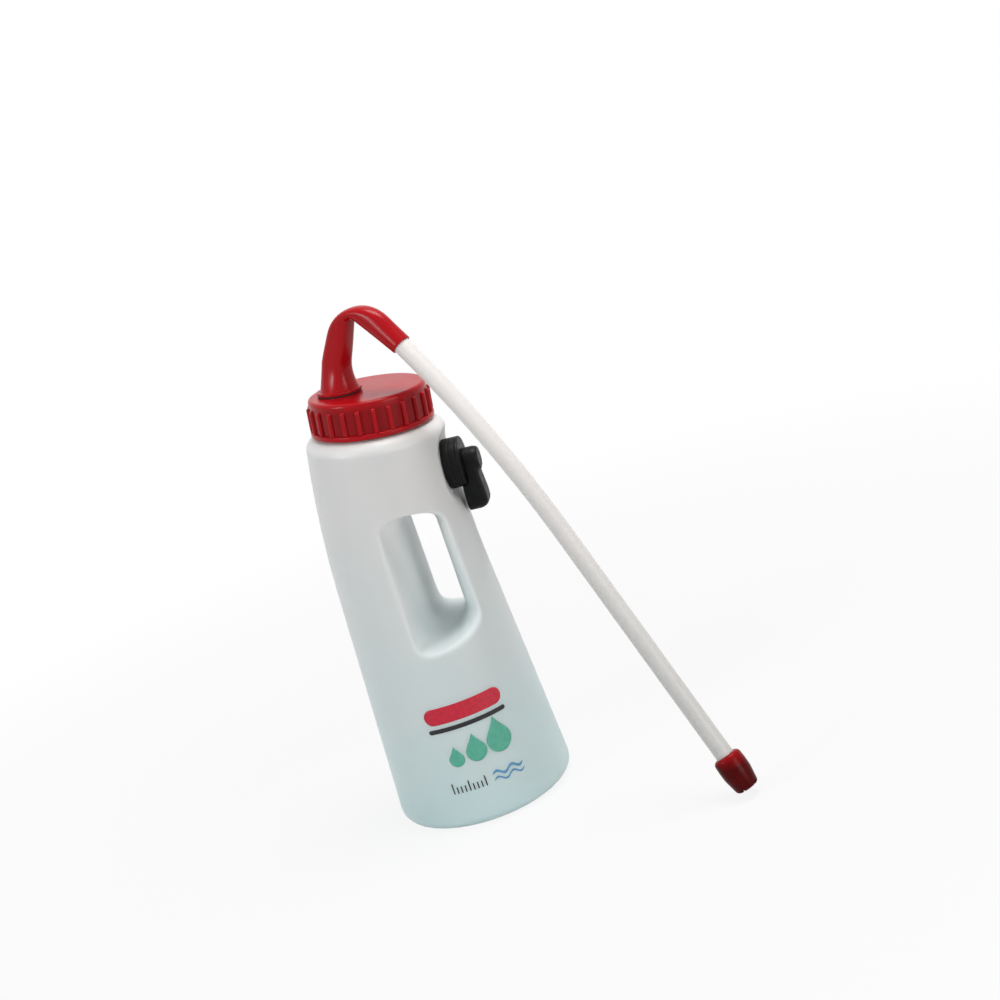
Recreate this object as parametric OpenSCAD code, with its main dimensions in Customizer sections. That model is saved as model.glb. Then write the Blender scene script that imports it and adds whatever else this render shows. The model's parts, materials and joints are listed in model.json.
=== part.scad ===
// Livestock drencher: a hand-held bottle with a screw cap, a swivelling spout and a dosing probe.
// Millimetres, +Z up, origin at the centre of the base. +X points to the valve and the handle.

/* [Bottle] */
// Radius of the bottle at its base
base_r = 65; // [60:0.5:72]
// Radius of the round edge at the base
base_edge_r = 9; // [5:0.5:14]
// Radius of the hollow in the middle of the base
base_hollow_r = 38; // [20:1:44]
// Depth of the hollow in the base
base_hollow_d = 1.5; // [0.5:0.1:3]
// Height of the straight lower part
straight_h = 168; // [160:1:180]
// Radius at the top of the straight part
waist_r = 55; // [52:0.5:58]
// Length of the curved upper part, along its centre line
curve_len = 104; // [98:1:115]
// Angle by which the neck leans towards the valve
neck_lean = 8.25; // [5:0.25:10]
// Radius at the top of the curved part, below the shoulder
shoulder_r = 49.3; // [48:0.1:51]
// Radius of the round shoulder
shoulder_edge_r = 10; // [7:0.5:10.5]
// Thickness of the moulded wall
wall = 2.2; // [1.6:0.1:2.8]

/* [Hand hole] */
// Distance of the hand hole from the bottle's axis
hole_x = 20; // [18:0.5:22]
// Height of the middle of the hand hole
hole_z = 178; // [172:1:184]
// Half the width of the hand hole at its narrowest
hole_r = 12; // [10:0.5:13]
// Length of the straight part of the hand hole
hole_straight = 59; // [45:1:66]
// Flare of the hand hole on the side of the bottle's axis
flare_in = 7; // [4:0.5:9]
// Flare of the hand hole on the handle's side
flare_out = 21; // [12:0.5:23]
// Flare of the hand hole at its two ends
flare_end = 11; // [7:0.5:13]

/* [Neck and cap] */
// Outer radius of the neck
neck_r = 37.4; // [36:0.1:38.4]
// Wall of the neck
neck_wall = 2.6; // [2:0.1:3]
// Pitch of the cap's thread
cap_pitch = 6; // [5:0.5:7]
// Height of the thread's ridges
thread_d = 1.4; // [1:0.1:1.6]
// Height of the cap
cap_h = 25.8; // [24:0.1:28]
// Thickness of the cap's top plate
cap_top_t = 3; // [2.4:0.1:4]
// Wall of the cap between its grip ribs
cap_wall = 2.8; // [2.4:0.1:3.4]
// Number of grip ribs round the cap
rib_count = 24; // [16:1:32]
// Radius of a grip rib
rib_r = 1.1; // [0.8:0.1:1.4]
// Height of the plain lip below the ribs
lip_h = 3.6; // [2.5:0.1:5]
// Thickness of the flat gasket in the cap
gasket_t = 2; // [1.2:0.1:2.6]

/* [Spout] */
// Gap between the spout's nut and the bore of the neck
nut_room = 2.3; // [2:0.1:3.5]
// Direction of the spout from the cap's axis
spout_at = 186; // [170:1:200]
// Angle by which the spout is turned away from the valve
spout_turn = 25; // [24:1:40]
// Radius of the spout's spigot in the cap
spigot_r = 10.2; // [9:0.1:11]
// Radius of the flange on the cap
flange_r = 16; // [15:0.1:17]
// Thickness of the flange
flange_t = 2; // [1.5:0.1:3]
// Thickness of the seal under the flange
seal_t = 1; // [0.6:0.1:1.6]
// Radius of the rising column
column_r = 10.9; // [9.5:0.1:11.5]
// Length of the rising column
column_len = 36; // [32:0.5:42]
// Angle by which the column leans forward
column_lean = 11.3; // [8:0.1:14]
// Radius of the column where it flares into the flange
foot_r = 13.6; // [12.5:0.1:14.5]
// Height of the flare at the column's foot
foot_h = 14; // [8:0.5:18]
// Radius of the bend, at its centre line
spout_bend_r = 23; // [20:0.5:26]
// Outer radius of the bend
bend_r = 8.2; // [7.8:0.1:9]
// Angle below level at which the spout's arm points
arm_drop = 46.7; // [42:0.1:50]
// Length of the arm after the bend
arm_len = 20; // [18:0.5:26]
// Radius of the arm at its open end
arm_end_r = 7.6; // [7.4:0.1:8]
// Bore of the spout, as a radius
channel_r = 4.6; // [3.5:0.1:5]
// Thickness of the nut under the cap
nut_t = 5; // [4:0.1:6]
// Radius of the nut over its corners
nut_r = 14; // [13:0.1:14.4]

/* [Probe] */
// Outer radius of the probe's tube
tube_r = 6.25; // [5.6:0.05:6.4]
// Bore of the probe's tube, as a radius
tube_bore_r = 4.75; // [4:0.05:5]
// Length of tube held in the spout's socket
socket_len = 18; // [12:0.5:19]
// Radius of the tube's gentle curve
tube_curve_r = 830; // [700:10:1000]
// Angle of the tube's gentle curve
tube_curve = 11.3; // [8:0.1:13]
// Length of the straight part of the tube after its curve
tube_straight = 202; // [150:1:205]
// Length of the soft tip
tip_len = 28; // [24:0.5:32]
// Radius of the tip at its widest
tip_r = 9.8; // [9:0.1:10.5]
// Radius of the tip at its open end
tip_end_r = 7.9; // [7.5:0.1:8.6]
// Length of tube inside the tip
tip_hold = 22; // [16:0.5:23]
// Number of notches in the tip's open end
notch_count = 4; // [3:1:6]

/* [Valve] */
// Depth of the valve's flat below the handle's face
flat_d = 5; // [4:0.1:6]
// Height of the neck's seat above the valve's axis
valve_below = 41; // [38:0.5:44]
// Angle by which the valve's axis points down from square to the handle's face
valve_tilt = 2; // [0:0.5:4]
// Radius of the flat that the valve sits on
flat_r = 21; // [19.5:0.1:22]
// Outer radius of the valve's screw neck
stub_r = 13; // [12.5:0.1:13.4]
// Length of the valve's screw neck
stub_len = 9; // [8:0.1:11]
// Bore of the valve's screw neck, as a radius
stub_bore_r = 9.6; // [9.3:0.1:10.2]
// Outer radius of the black collar
collar_r = 17.7; // [16.6:0.1:18.4]
// Thickness of the collar's end plate
collar_plate_t = 2.5; // [2.2:0.1:3]
// Thickness of the ring gasket in the collar
valve_gasket_t = 1.2; // [1:0.1:1.6]
// Radius of the lever's stem in the collar
stem_r = 4; // [3.6:0.1:4.4]
// Radius of the lever's hub
hub_r = 8.7; // [8:0.1:10]
// Length of the lever's hub
hub_len = 10.8; // [9:0.1:13]
// Distance from the lever's axis to the end of its arm
lever_len = 39; // [34:0.5:44]
// Width of the lever's arm
lever_w = 18; // [14:0.5:20]
// Extra depth of the lever's thumb pad, towards the bottle
pad_d = 3; // [1:0.1:4]
// Thickness of the metering disc
disc_t = 2; // [1.6:0.1:2.4]
// Radius of the circle that the air holes lie on
air_at_r = 6.2; // [5.8:0.1:6.6]
// Radii of the air holes for slow, medium and fast flow
air_r = [0.7, 1.1, 1.6]; // [0.5:0.1:1.8]
// Angle between two stops of the lever
air_step = 30; // [28:1:34]

/* [Clearances] */
// Gap between the cap's lip and the bottle's shoulder
cap_gap = 1; // [0.5:0.1:1.6]
// Gap between the two thread ridges, at their tops
thread_fit = 0.6; // [0.5:0.05:0.8]
// Gap between faces that turn or slide on each other
face_gap = 0.2; // [0.1:0.05:0.3]
// Gap at a flat gasket
gasket_gap = 0.1; // [0.05:0.05:0.2]
// Gap round the spigot in the cap
spigot_fit = 0.3; // [0.3:0.05:0.4]
// Running gap round the valve's stem and the tube in its socket
run_fit = 0.08; // [0.05:0.01:0.1]
// Gap round a pushed-on or screwed piece
push_fit = 0.1; // [0.05:0.05:0.2]

/* [Hidden] */
$fn = 96;

// Facets round the lofted part of the bottle and round the hand hole
loft_sides = 60;
loft_steps = 6;
hole_sides = 40;
hole_steps = 12;
hole_reach = 66;
hole_flare_at = 50;
hole_flare_power = 2.2;
// Facets per turn of a thread
thread_steps = 30;
thread_turns = 1;
thread_root_w = 2.6;
thread_crest_w = 1.6;
thread_sink = 0.6;
thread_start = 6;
// A small overshoot for cuts
cut = 1;
// The lap of one stretch over the next, and the step in radius that keeps their faces apart
lap = 0.5;
lap_step = 0.1;
tube_step = 0.02;

// Centre line of the curved part: an arc in the XZ plane
curve_r = curve_len / (neck_lean * PI / 180);
curve_end = [curve_r * (1 - cos(neck_lean)), 0, straight_h + curve_r * sin(neck_lean)];
shoulder_land = 2.5;
seat_rise = shoulder_edge_r + shoulder_land;
seat_z = curve_end[2] + seat_rise * cos(neck_lean);

// Heights above the neck's seat, along the neck's axis
cap_top = cap_gap + cap_h;
cap_under = cap_top - cap_top_t;
neck_h = cap_under - gasket_t - 2 * gasket_gap;
cap_bore_r = neck_r + thread_d + thread_fit;
cap_r = cap_bore_r + cap_wall;
lip_over = 0.2;
lip_r = cap_r + rib_r + lip_over;
rib_end = 0.6;
cap_edge_r = 5;
gasket_r = cap_bore_r - thread_d - spigot_fit;
gasket_bore_r = neck_r - neck_wall - cap_gap;

// Distance of the spout from the cap's axis, with its nut inside the neck
spout_off = neck_r - neck_wall - nut_r - nut_room;
// Points of the spout, in its own XZ plane above the cap
column_top = [column_len * sin(column_lean), column_len * cos(column_lean)];
bend_c = column_top + spout_bend_r * [cos(column_lean), -sin(column_lean)];
bend_end = bend_c + spout_bend_r * [sin(arm_drop), cos(arm_drop)];
arm_dir = [cos(arm_drop), -sin(arm_drop)];
arm_end = bend_end + arm_len * arm_dir;
bend_angle = 90 - column_lean + arm_drop;
// The slanted column ends inside the flange
flange_mid = face_gap + seal_t + flange_t / 2;
spigot_bore_step = 1;
spigot_bore_r = channel_r + spigot_bore_step;
socket_r = tube_r + run_fit;
o_ring_cord = 0.8;
o_ring_back = 5;
// The tube leaves the socket along the arm, curves gently and runs straight to the tip
tube_drop = arm_drop + tube_curve;
tube_curve_c = arm_end - tube_curve_r * [sin(arm_drop), cos(arm_drop)];
tube_curve_end = tube_curve_c + tube_curve_r * [sin(tube_drop), cos(tube_drop)];
tip_at = tube_straight - tip_hold;
tip_edge_r = 2.2;
tip_widest = 9;
tip_lip_t = 1.2;
tip_neck_r = tube_r + tip_lip_t;
tip_chamfer = 0.8;
notch_w = 3;
notch_d = 2.4;

// The valve's place and slant on the handle
valve_z = seat_z - valve_below;
flat_x = handle_x(valve_z) - flat_d;
valve_drop = valve_tilt + atan((handle_x(valve_z) - handle_x(valve_z - lever_len)) / lever_len);
// Heights above the valve's flat, along the valve's axis
collar_foot = 0.5;
band_w = 1.2;
band_d = 0.6;
plate_in = stub_len + valve_gasket_t + 2 * gasket_gap;
plate_out = plate_in + collar_plate_t;
collar_bore_r = stub_r + push_fit;
hub_foot = plate_out + spigot_fit;
hub_end = hub_foot + hub_len;
hub_dome = 2;
disc_gap = 0.7;
disc_r = stub_bore_r - disc_gap;
disc_in = plate_in - gasket_gap - disc_t;
key_step = 0.8;
key_r = stem_r - key_step;
key_cut = 1;
key_flat = key_r - key_cut;
spring_t = 0.5;
spring_h = 1.1;
spring_inset = 2;
clip_t = 0.8;
clip_w = 2;
clip_grip = 0.5;
clip_out = disc_in - spring_h - 2 * gasket_gap;
clip_groove_d = 0.7;
groove_r = key_r - clip_groove_d;
stem_tail = 1;
stem_end = clip_out - clip_t - stem_tail;
stem_ring_cord = 1.1;
stem_ring_at = plate_in + collar_plate_t / 2;
air_port_margin = 0.3;
air_port_r = max(air_r) + air_port_margin;

function curve_radius(t) = waist_r + (shoulder_r - waist_r) * t;
function curve_point(t) = curve_r * [1 - cos(neck_lean * t), sin(neck_lean * t)] + [0, straight_h];
// Distance of the handle's face from the bottle's axis, near the height z
function handle_x(z) = let (lean = asin((z - straight_h) / curve_r))
    curve_r * (1 - cos(lean)) + curve_radius(lean / neck_lean) * cos(lean);
// One ring of the curved part, square to its centre line
function curve_ring(t, r) = [for (i = [0:loft_sides - 1])
    let (a = 360 * i / loft_sides, p = curve_point(t), lean = neck_lean * t)
    [p[0] + r * cos(a) * cos(lean), r * sin(a), p[1] - r * cos(a) * sin(lean)]];
// Share of the flare that is reached at a distance y from the middle plane
function flare(y) = pow(abs(y) / hole_flare_at, hole_flare_power);
// One ring of the hand hole: a slot with round ends, wider on the handle's side
function hole_ring(y, grow) = [for (i = [0:hole_sides - 1])
    let (a = 360 * (i + 0.5) / hole_sides,
         side = hole_r + grow + flare(y) * (cos(a) > 0 ? flare_out : flare_in),
         end = hole_r + grow + flare(y) * flare_end)
    [hole_x + side * cos(a), y, hole_z + sign(sin(a)) * hole_straight / 2 + end * sin(a)]];

// A closed solid through a row of rings with as many points each
module loft(rings) {
    n = len(rings[0]);
    last = len(rings) - 1;
    sides = [for (k = [0:last - 1], i = [0:n - 1])
        let (a = k * n + i, b = k * n + (i + 1) % n) each [[a, b + n, b], [a, a + n, b + n]]];
    ends = [[for (i = [0:n - 1]) i], [for (i = [n - 1:-1:0]) last * n + i]];
    polyhedron([for (ring = rings) each ring], concat(sides, ends));
}

// A screw thread's ridge: a trapezium carried along a right-hand helix
module thread_ridge(root_r, crest_r, start, pitch) {
    steps = round(thread_turns * thread_steps);
    points = [for (i = [0:steps])
        let (a = 360 * i / thread_steps, z = start + pitch * i / thread_steps,
             ring = [[root_r, -thread_root_w / 2], [crest_r, -thread_crest_w / 2],
                     [crest_r, thread_crest_w / 2], [root_r, thread_root_w / 2]])
        each [for (p = ring) [p[0] * cos(a), p[0] * sin(a), z + p[1]]]];
    sides = [for (i = [0:steps - 1], j = [0:3])
        let (a = 4 * i + j, b = 4 * i + (j + 1) % 4) each [[a, b, b + 4], [a, b + 4, a + 4]]];
    ends = [[3, 2, 1, 0], [for (j = [0:3]) 4 * steps + j]];
    faces = concat(sides, ends);
    outward = crest_r > root_r;
    polyhedron(points, outward ? faces : [for (f = faces) [for (i = [len(f) - 1:-1:0]) f[i]]]);
}

module at_neck() {
    translate(curve_end) rotate([0, neck_lean, 0]) translate([0, 0, seat_rise]) children();
}

module at_spout() {
    at_neck() rotate([0, 0, spout_at]) translate([spout_off, 0, cap_top])
        rotate([0, 0, -spout_at - spout_turn]) children();
}

// Puts +Z along the tube at a point of the spout's plane
module along(point, drop) {
    translate([point[0], 0, point[1]]) rotate([0, 90 + drop, 0]) children();
}

module at_valve() {
    translate([flat_x, 0, valve_z]) rotate([0, 90 + valve_drop, 0]) children();
}

// A ring with a rectangular section
module ring(r_out, r_in, h) {
    difference() {
        cylinder(r = r_out, h = h);
        translate([0, 0, -cut]) cylinder(r = r_in, h = h + 2 * cut);
    }
}

module o_ring(r, cord) {
    rotate_extrude() translate([r, 0]) circle(d = cord, $fn = 32);
}

// Part of a bent tube: an arc about the Y axis from one angle to another, clockwise from +Z
module bent_tube(centre, r_bend, r_tube, from, angle) {
    translate([centre[0], 0, centre[1]]) rotate([90, 0, 0]) rotate([0, 0, 90 - from - angle])
        rotate_extrude(angle = angle) translate([r_bend, 0]) circle(r = r_tube);
}

// The bottle's outside, or its inside when it is drawn in by the wall
module bottle_form(inset) {
    foot = inset > 0 ? inset + base_hollow_d : 0;
    edge = base_edge_r - (inset > 0 ? inset / 2 : 0);
    taper = (base_r - waist_r) / straight_h;
    floor_r = base_r - taper * foot - inset;
    rotate_extrude() difference() {
        polygon([[0, foot], [floor_r, foot], [waist_r - inset, straight_h],
                 [waist_r - inset, straight_h + lap], [0, straight_h + lap]]);
        translate([floor_r - edge, foot]) difference() {
            translate([0, -cut]) square([edge + cut, edge + cut]);
            translate([0, edge]) circle(edge);
        }
    }
    loft([for (k = [0:loft_steps]) let (t = k / loft_steps)
        curve_ring(t, curve_radius(t) - inset - lap_step)]);
    at_neck() rotate_extrude() union() {
        translate([0, -seat_rise - lap]) square([shoulder_r - inset, shoulder_land + lap]);
        translate([0, -shoulder_edge_r])
            square([shoulder_r - shoulder_edge_r, shoulder_edge_r - inset]);
        intersection() {
            translate([shoulder_r - shoulder_edge_r, -shoulder_edge_r])
                circle(shoulder_edge_r - inset);
            translate([0, -shoulder_edge_r]) square([shoulder_r, shoulder_edge_r]);
        }
    }
}

module hand_hole(grow) {
    loft([for (k = [0:hole_steps]) hole_ring(hole_reach * (1 - 2 * k / hole_steps), grow)]);
}

module bottle() {
    color([0.88, 0.91, 0.90]) difference() {
        union() {
            difference() {
                bottle_form(0);
                at_valve() cylinder(r = flat_r, h = base_r);
            }
            at_neck() translate([0, 0, -shoulder_edge_r / 2])
                cylinder(r = neck_r, h = neck_h + shoulder_edge_r / 2);
            at_neck() thread_ridge(neck_r - thread_sink, neck_r + thread_d, thread_start, cap_pitch);
            at_valve() translate([0, 0, -wall]) cylinder(r = stub_r, h = stub_len + wall);
        }
        difference() {
            bottle_form(wall);
            hand_hole(wall);
            at_valve() translate([0, 0, -wall]) cylinder(r = flat_r + wall, h = base_r);
        }
        hand_hole(0);
        at_neck() translate([0, 0, -shoulder_edge_r])
            cylinder(r = neck_r - neck_wall, h = neck_h + 2 * shoulder_edge_r);
        at_valve() translate([0, 0, -2 * wall]) cylinder(r = stub_bore_r, h = stub_len + 3 * wall);
        translate([0, 0, -cut]) cylinder(r = base_hollow_r, h = base_hollow_d + cut);
    }
}

module cap() {
    color([0.62, 0.04, 0.06]) at_neck() difference() {
        union() {
            translate([0, 0, cap_gap]) rotate_extrude() union() {
                square([lip_r, lip_h]);
                square([cap_r, cap_h - cap_edge_r]);
                square([cap_r - cap_edge_r, cap_h]);
                translate([cap_r - cap_edge_r, cap_h - cap_edge_r]) circle(cap_edge_r);
            }
            for (i = [0:rib_count - 1]) rotate([0, 0, 360 * i / rib_count])
                translate([cap_r, 0, cap_gap + lip_h / 2])
                    cylinder(r = rib_r, h = cap_h - cap_edge_r - lip_h / 2 - rib_end, $fn = 32);
        }
        translate([0, 0, cap_gap - cut]) cylinder(r = cap_bore_r, h = cap_under - cap_gap + cut);
        rotate([0, 0, spout_at]) translate([spout_off, 0, cap_under - cut])
            cylinder(r = spigot_r + spigot_fit, h = cap_top_t + 2 * cut);
    }
    color([0.62, 0.04, 0.06]) at_neck()
        thread_ridge(cap_bore_r + thread_sink, cap_bore_r - thread_d, thread_start - cap_pitch / 2,
                     cap_pitch);
}

module cap_gasket() {
    color([0.16, 0.16, 0.17]) at_neck() translate([0, 0, neck_h + gasket_gap])
        ring(gasket_r, gasket_bore_r, gasket_t);
}

module spout_elbow() {
    spigot_foot = -cap_top_t - face_gap - nut_t - cut;
    color([0.66, 0.06, 0.08]) at_spout() difference() {
        union() {
            translate([0, 0, spigot_foot]) cylinder(r = spigot_r, h = -spigot_foot + seal_t + flange_t);
            translate([0, 0, face_gap + seal_t]) cylinder(r = flange_r, h = flange_t);
            difference() {
                rotate([0, column_lean, 0]) {
                    translate([0, 0, flange_t]) cylinder(r1 = foot_r, r2 = column_r, h = foot_h);
                    translate([0, 0, flange_t]) cylinder(r = column_r, h = column_len - flange_t);
                }
                translate([0, 0, -foot_h]) cylinder(r = 2 * flange_r, h = foot_h + flange_mid);
            }
            translate([column_top[0], 0, column_top[1]]) sphere(r = column_r + lap_step);
            bent_tube(bend_c, spout_bend_r, bend_r, column_lean - 90, bend_angle);
            along(bend_end, arm_drop) translate([0, 0, -lap])
                cylinder(r1 = bend_r + lap_step, r2 = arm_end_r, h = arm_len + lap);
        }
        translate([0, 0, spigot_foot - cut]) cylinder(r = spigot_bore_r, h = -spigot_foot + flange_t + cut);
        rotate([0, column_lean, 0]) cylinder(r = channel_r + lap_step, h = column_len + lap);
        bent_tube(bend_c, spout_bend_r, channel_r, column_lean - 90, bend_angle);
        along(bend_end, arm_drop) translate([0, 0, -lap])
            cylinder(r = channel_r + lap_step, h = arm_len + lap);
        along(arm_end, arm_drop) translate([0, 0, -socket_len - push_fit])
            cylinder(r = socket_r, h = socket_len + push_fit + cut);
        along(arm_end, arm_drop) translate([0, 0, -o_ring_back]) o_ring(socket_r, 2 * o_ring_cord);
    }
}

module spout_seal() {
    color([0.14, 0.14, 0.15]) at_spout() translate([0, 0, face_gap])
        ring(flange_r - cut, spigot_r + push_fit, seal_t);
}

module spout_nut() {
    color([0.60, 0.04, 0.06]) at_spout() translate([0, 0, -cap_top_t - face_gap - nut_t]) difference() {
        cylinder(r = nut_r, h = nut_t, $fn = 6);
        translate([0, 0, -cut]) cylinder(r = spigot_r + push_fit, h = nut_t + 2 * cut);
    }
}

module probe_tube() {
    color([0.93, 0.90, 0.86]) at_spout() difference() {
        probe_run(tube_r, 0);
        probe_run(tube_bore_r, cut);
    }
}

// The tube's three stretches: in the socket, round the gentle curve, and straight to the tip
module probe_run(r, extra) {
    along(arm_end, arm_drop) translate([0, 0, -socket_len - extra])
        cylinder(r = r, h = socket_len + extra + lap);
    bent_tube(tube_curve_c, tube_curve_r, r - tube_step, arm_drop, tube_curve);
    along(tube_curve_end, tube_drop) translate([0, 0, -lap])
        cylinder(r = r, h = tube_straight + extra + lap);
}

module tube_o_ring() {
    color([0.14, 0.14, 0.15]) at_spout() along(arm_end, arm_drop) translate([0, 0, -o_ring_back])
        o_ring(socket_r + o_ring_cord / 2, o_ring_cord);
}

module probe_tip() {
    color([0.45, 0.03, 0.05]) at_spout() along(tube_curve_end, tube_drop)
        translate([0, 0, tip_at]) difference() {
            rotate_extrude()
                polygon([[0, 0], [tip_neck_r, 0], [tip_r - tip_edge_r / 2, tip_edge_r], [tip_r, tip_widest],
                         [tip_end_r, tip_len - tip_chamfer], [tip_end_r - tip_chamfer, tip_len],
                         [0, tip_len]]);
            translate([0, 0, -cut]) cylinder(r = tube_r + push_fit, h = tip_hold + cut);
            cylinder(r = tube_bore_r, h = tip_len + cut);
            for (i = [0:notch_count - 1]) rotate([0, 0, 360 * i / notch_count])
                translate([0, -notch_w / 2, tip_len - notch_d])
                    cube([tip_r + cut, notch_w, notch_d + cut]);
        }
}

module valve_collar() {
    color([0.05, 0.05, 0.055]) at_valve() difference() {
        rotate_extrude() polygon([[stem_r + run_fit, plate_in], [collar_bore_r, plate_in],
            [collar_bore_r, collar_foot], [collar_r, collar_foot], [collar_r, plate_in / 2 - band_w],
            [collar_r - band_d, plate_in / 2 - band_w], [collar_r - band_d, plate_in / 2],
            [collar_r, plate_in / 2], [collar_r, plate_out - band_w], [collar_r - band_w, plate_out],
            [stem_r + run_fit, plate_out]]);
        rotate([0, 0, -90]) translate([air_at_r, 0, plate_in - cut])
            cylinder(r = air_port_r, h = collar_plate_t + 2 * cut);
    }
}

module valve_gasket() {
    color([0.20, 0.20, 0.21]) at_valve() translate([0, 0, stub_len + gasket_gap])
        ring(collar_bore_r - push_fit, stub_bore_r, valve_gasket_t);
}

// The lever points along +X of the valve's frame, which is down along the handle
module valve_lever() {
    pad_from = collar_r + cut;
    tail_r = lever_w / 2;
    color([0.06, 0.06, 0.065]) at_valve() difference() {
        union() {
            translate([0, 0, hub_foot]) cylinder(r = hub_r, h = hub_len - hub_dome);
            translate([0, 0, hub_end - hub_dome]) cylinder(r1 = hub_r, r2 = hub_r - hub_dome, h = hub_dome);
            translate([0, 0, hub_foot]) linear_extrude(hub_len - hub_dome) polygon([[0, -hub_r + cut],
                [lever_len - tail_r, -lever_w / 2], [lever_len - tail_r, lever_w / 2], [0, hub_r - cut]]);
            translate([lever_len - tail_r, 0, hub_foot]) cylinder(r = tail_r, h = hub_len - hub_dome);
            intersection() {
                translate([pad_from, -lever_w / 2, hub_foot - pad_d]) cube([lever_len, lever_w, pad_d + cut]);
                translate([lever_len - tail_r, 0, hub_foot - pad_d]) union() {
                    cylinder(r = tail_r, h = pad_d + cut);
                    translate([-tail_r, -tail_r, 0]) cube([tail_r, 2 * tail_r, pad_d + cut]);
                }
            }
            translate([0, 0, plate_in]) cylinder(r = stem_r, h = hub_foot - plate_in + cut);
            translate([0, 0, stem_end]) difference() {
                cylinder(r = key_r, h = plate_in - stem_end + cut / 2);
                translate([key_flat, -stem_r, -cut]) cube([stem_r, 2 * stem_r, plate_in - stem_end + cut]);
            }
        }
        translate([0, 0, stem_ring_at - stem_ring_cord / 2])
            ring(stem_r + cut, stem_r - stem_ring_cord, stem_ring_cord);
        translate([0, 0, clip_out - clip_t - gasket_gap])
            ring(stem_r + cut, groove_r, clip_t + 2 * gasket_gap);
    }
}

module stem_o_ring() {
    color([0.12, 0.12, 0.13]) at_valve() translate([0, 0, stem_ring_at])
        o_ring(stem_r - stem_ring_cord / 2, stem_ring_cord);
}

// The disc turns with the stem, and its three holes pass the collar's port one by one
module metering_disc() {
    color([0.90, 0.90, 0.88]) at_valve() translate([0, 0, disc_in]) difference() {
        cylinder(r = disc_r, h = disc_t);
        difference() {
            translate([0, 0, -cut]) cylinder(r = key_r + push_fit, h = disc_t + 2 * cut);
            translate([key_flat + push_fit, -stem_r, -2 * cut]) cube([stem_r, 2 * stem_r, disc_t + 4 * cut]);
        }
        for (i = [0:len(air_r) - 1]) rotate([0, 0, -90 - air_step * (i + 1)])
            translate([air_at_r, 0, -cut]) cylinder(r = air_r[i], h = disc_t + 2 * cut);
    }
}

// A cone-shaped spring washer that presses the disc onto the collar's plate
module disc_spring() {
    inner = key_r + push_fit;
    outer = disc_r - spring_inset;
    rise = spring_h - spring_t;
    color([0.70, 0.71, 0.72]) at_valve() translate([0, 0, clip_out + gasket_gap]) rotate_extrude()
        polygon([[inner, 0], [outer, rise], [outer, rise + spring_t], [inner, spring_t]]);
}

module stem_clip() {
    slot = 2 * (groove_r - clip_grip);
    color([0.66, 0.67, 0.68]) at_valve() translate([0, 0, clip_out - clip_t]) difference() {
        ring(key_r + clip_w, groove_r + push_fit, clip_t);
        translate([0, -slot / 2, -cut]) cube([key_r + clip_w + cut, slot, clip_t + 2 * cut]);
    }
}

bottle();
cap();
cap_gasket();
spout_elbow();
spout_seal();
spout_nut();
probe_tube();
tube_o_ring();
probe_tip();
valve_collar();
valve_gasket();
valve_lever();
stem_o_ring();
metering_disc();
disc_spring();
stem_clip();
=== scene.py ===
"""Livestock drencher: the looks of its bottle, cap, spout, probe and valve.

Metres, in the frame's own axes: +Z up along the bottle, +X towards the valve and the handle.
"""
import json
import math

import bpy
import numpy as np
from bpy.props import FloatProperty, FloatVectorProperty, IntProperty, PointerProperty
from bpy.types import Operator, Panel, PropertyGroup
from mathutils import Matrix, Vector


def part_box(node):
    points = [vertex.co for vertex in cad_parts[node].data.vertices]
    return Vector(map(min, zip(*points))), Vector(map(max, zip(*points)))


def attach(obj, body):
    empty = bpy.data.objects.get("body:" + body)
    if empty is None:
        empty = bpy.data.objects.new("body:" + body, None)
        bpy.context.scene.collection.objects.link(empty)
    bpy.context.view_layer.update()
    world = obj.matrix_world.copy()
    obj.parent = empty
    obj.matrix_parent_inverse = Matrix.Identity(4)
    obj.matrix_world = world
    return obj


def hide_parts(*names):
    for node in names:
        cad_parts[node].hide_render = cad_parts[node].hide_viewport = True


bl_info = {
    "name": "Livestock drencher",
    "version": (1, 0, 0),
    "blender": (4, 5, 0),
    "location": "View3D > Sidebar > Drencher",
    "description": "Draws a drenching bottle with its cap, spout, probe and valve",
    "category": "Add Mesh",
}

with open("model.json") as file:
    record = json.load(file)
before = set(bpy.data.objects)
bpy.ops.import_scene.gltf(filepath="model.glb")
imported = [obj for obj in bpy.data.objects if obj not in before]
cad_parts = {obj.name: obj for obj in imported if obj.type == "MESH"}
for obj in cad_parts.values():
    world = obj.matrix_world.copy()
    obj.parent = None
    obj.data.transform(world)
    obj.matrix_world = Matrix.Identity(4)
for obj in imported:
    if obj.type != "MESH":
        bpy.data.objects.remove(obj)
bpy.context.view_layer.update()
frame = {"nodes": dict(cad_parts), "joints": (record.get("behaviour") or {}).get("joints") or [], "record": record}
JOINTS = {joint["name"]: joint for joint in frame["joints"]}
MM = 0.001
TURN = 2 * math.pi
QUARTER = math.pi / 2
# Distance within which points are joined, and the angle from which an edge is crisp
WELD = 1e-6
SHARP = math.radians(38)


# Local frames: an origin, and the X, Y and Z directions as rows

def unit(vectors):
    """Vectors with the same directions and a length of 1."""
    return vectors / np.linalg.norm(vectors, axis=-1, keepdims=True)


def place(joint, x_way):
    """A joint's own frame, with Z on its axis and X as near as can be to a direction."""
    z = np.array(JOINTS[joint]["axis"])
    x = unit(x_way - (x_way @ z) * z)
    return np.array(JOINTS[joint]["pos_m"]), np.array([x, np.cross(z, x), z])


def put(points, spot):
    """Points of a local frame, moved into the object's frame."""
    origin, axes = spot
    return origin + points @ axes


def seen_from(points, spot):
    """Points of the object's frame, as places in a local frame."""
    origin, axes = spot
    return (points - origin) @ axes.T


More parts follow.
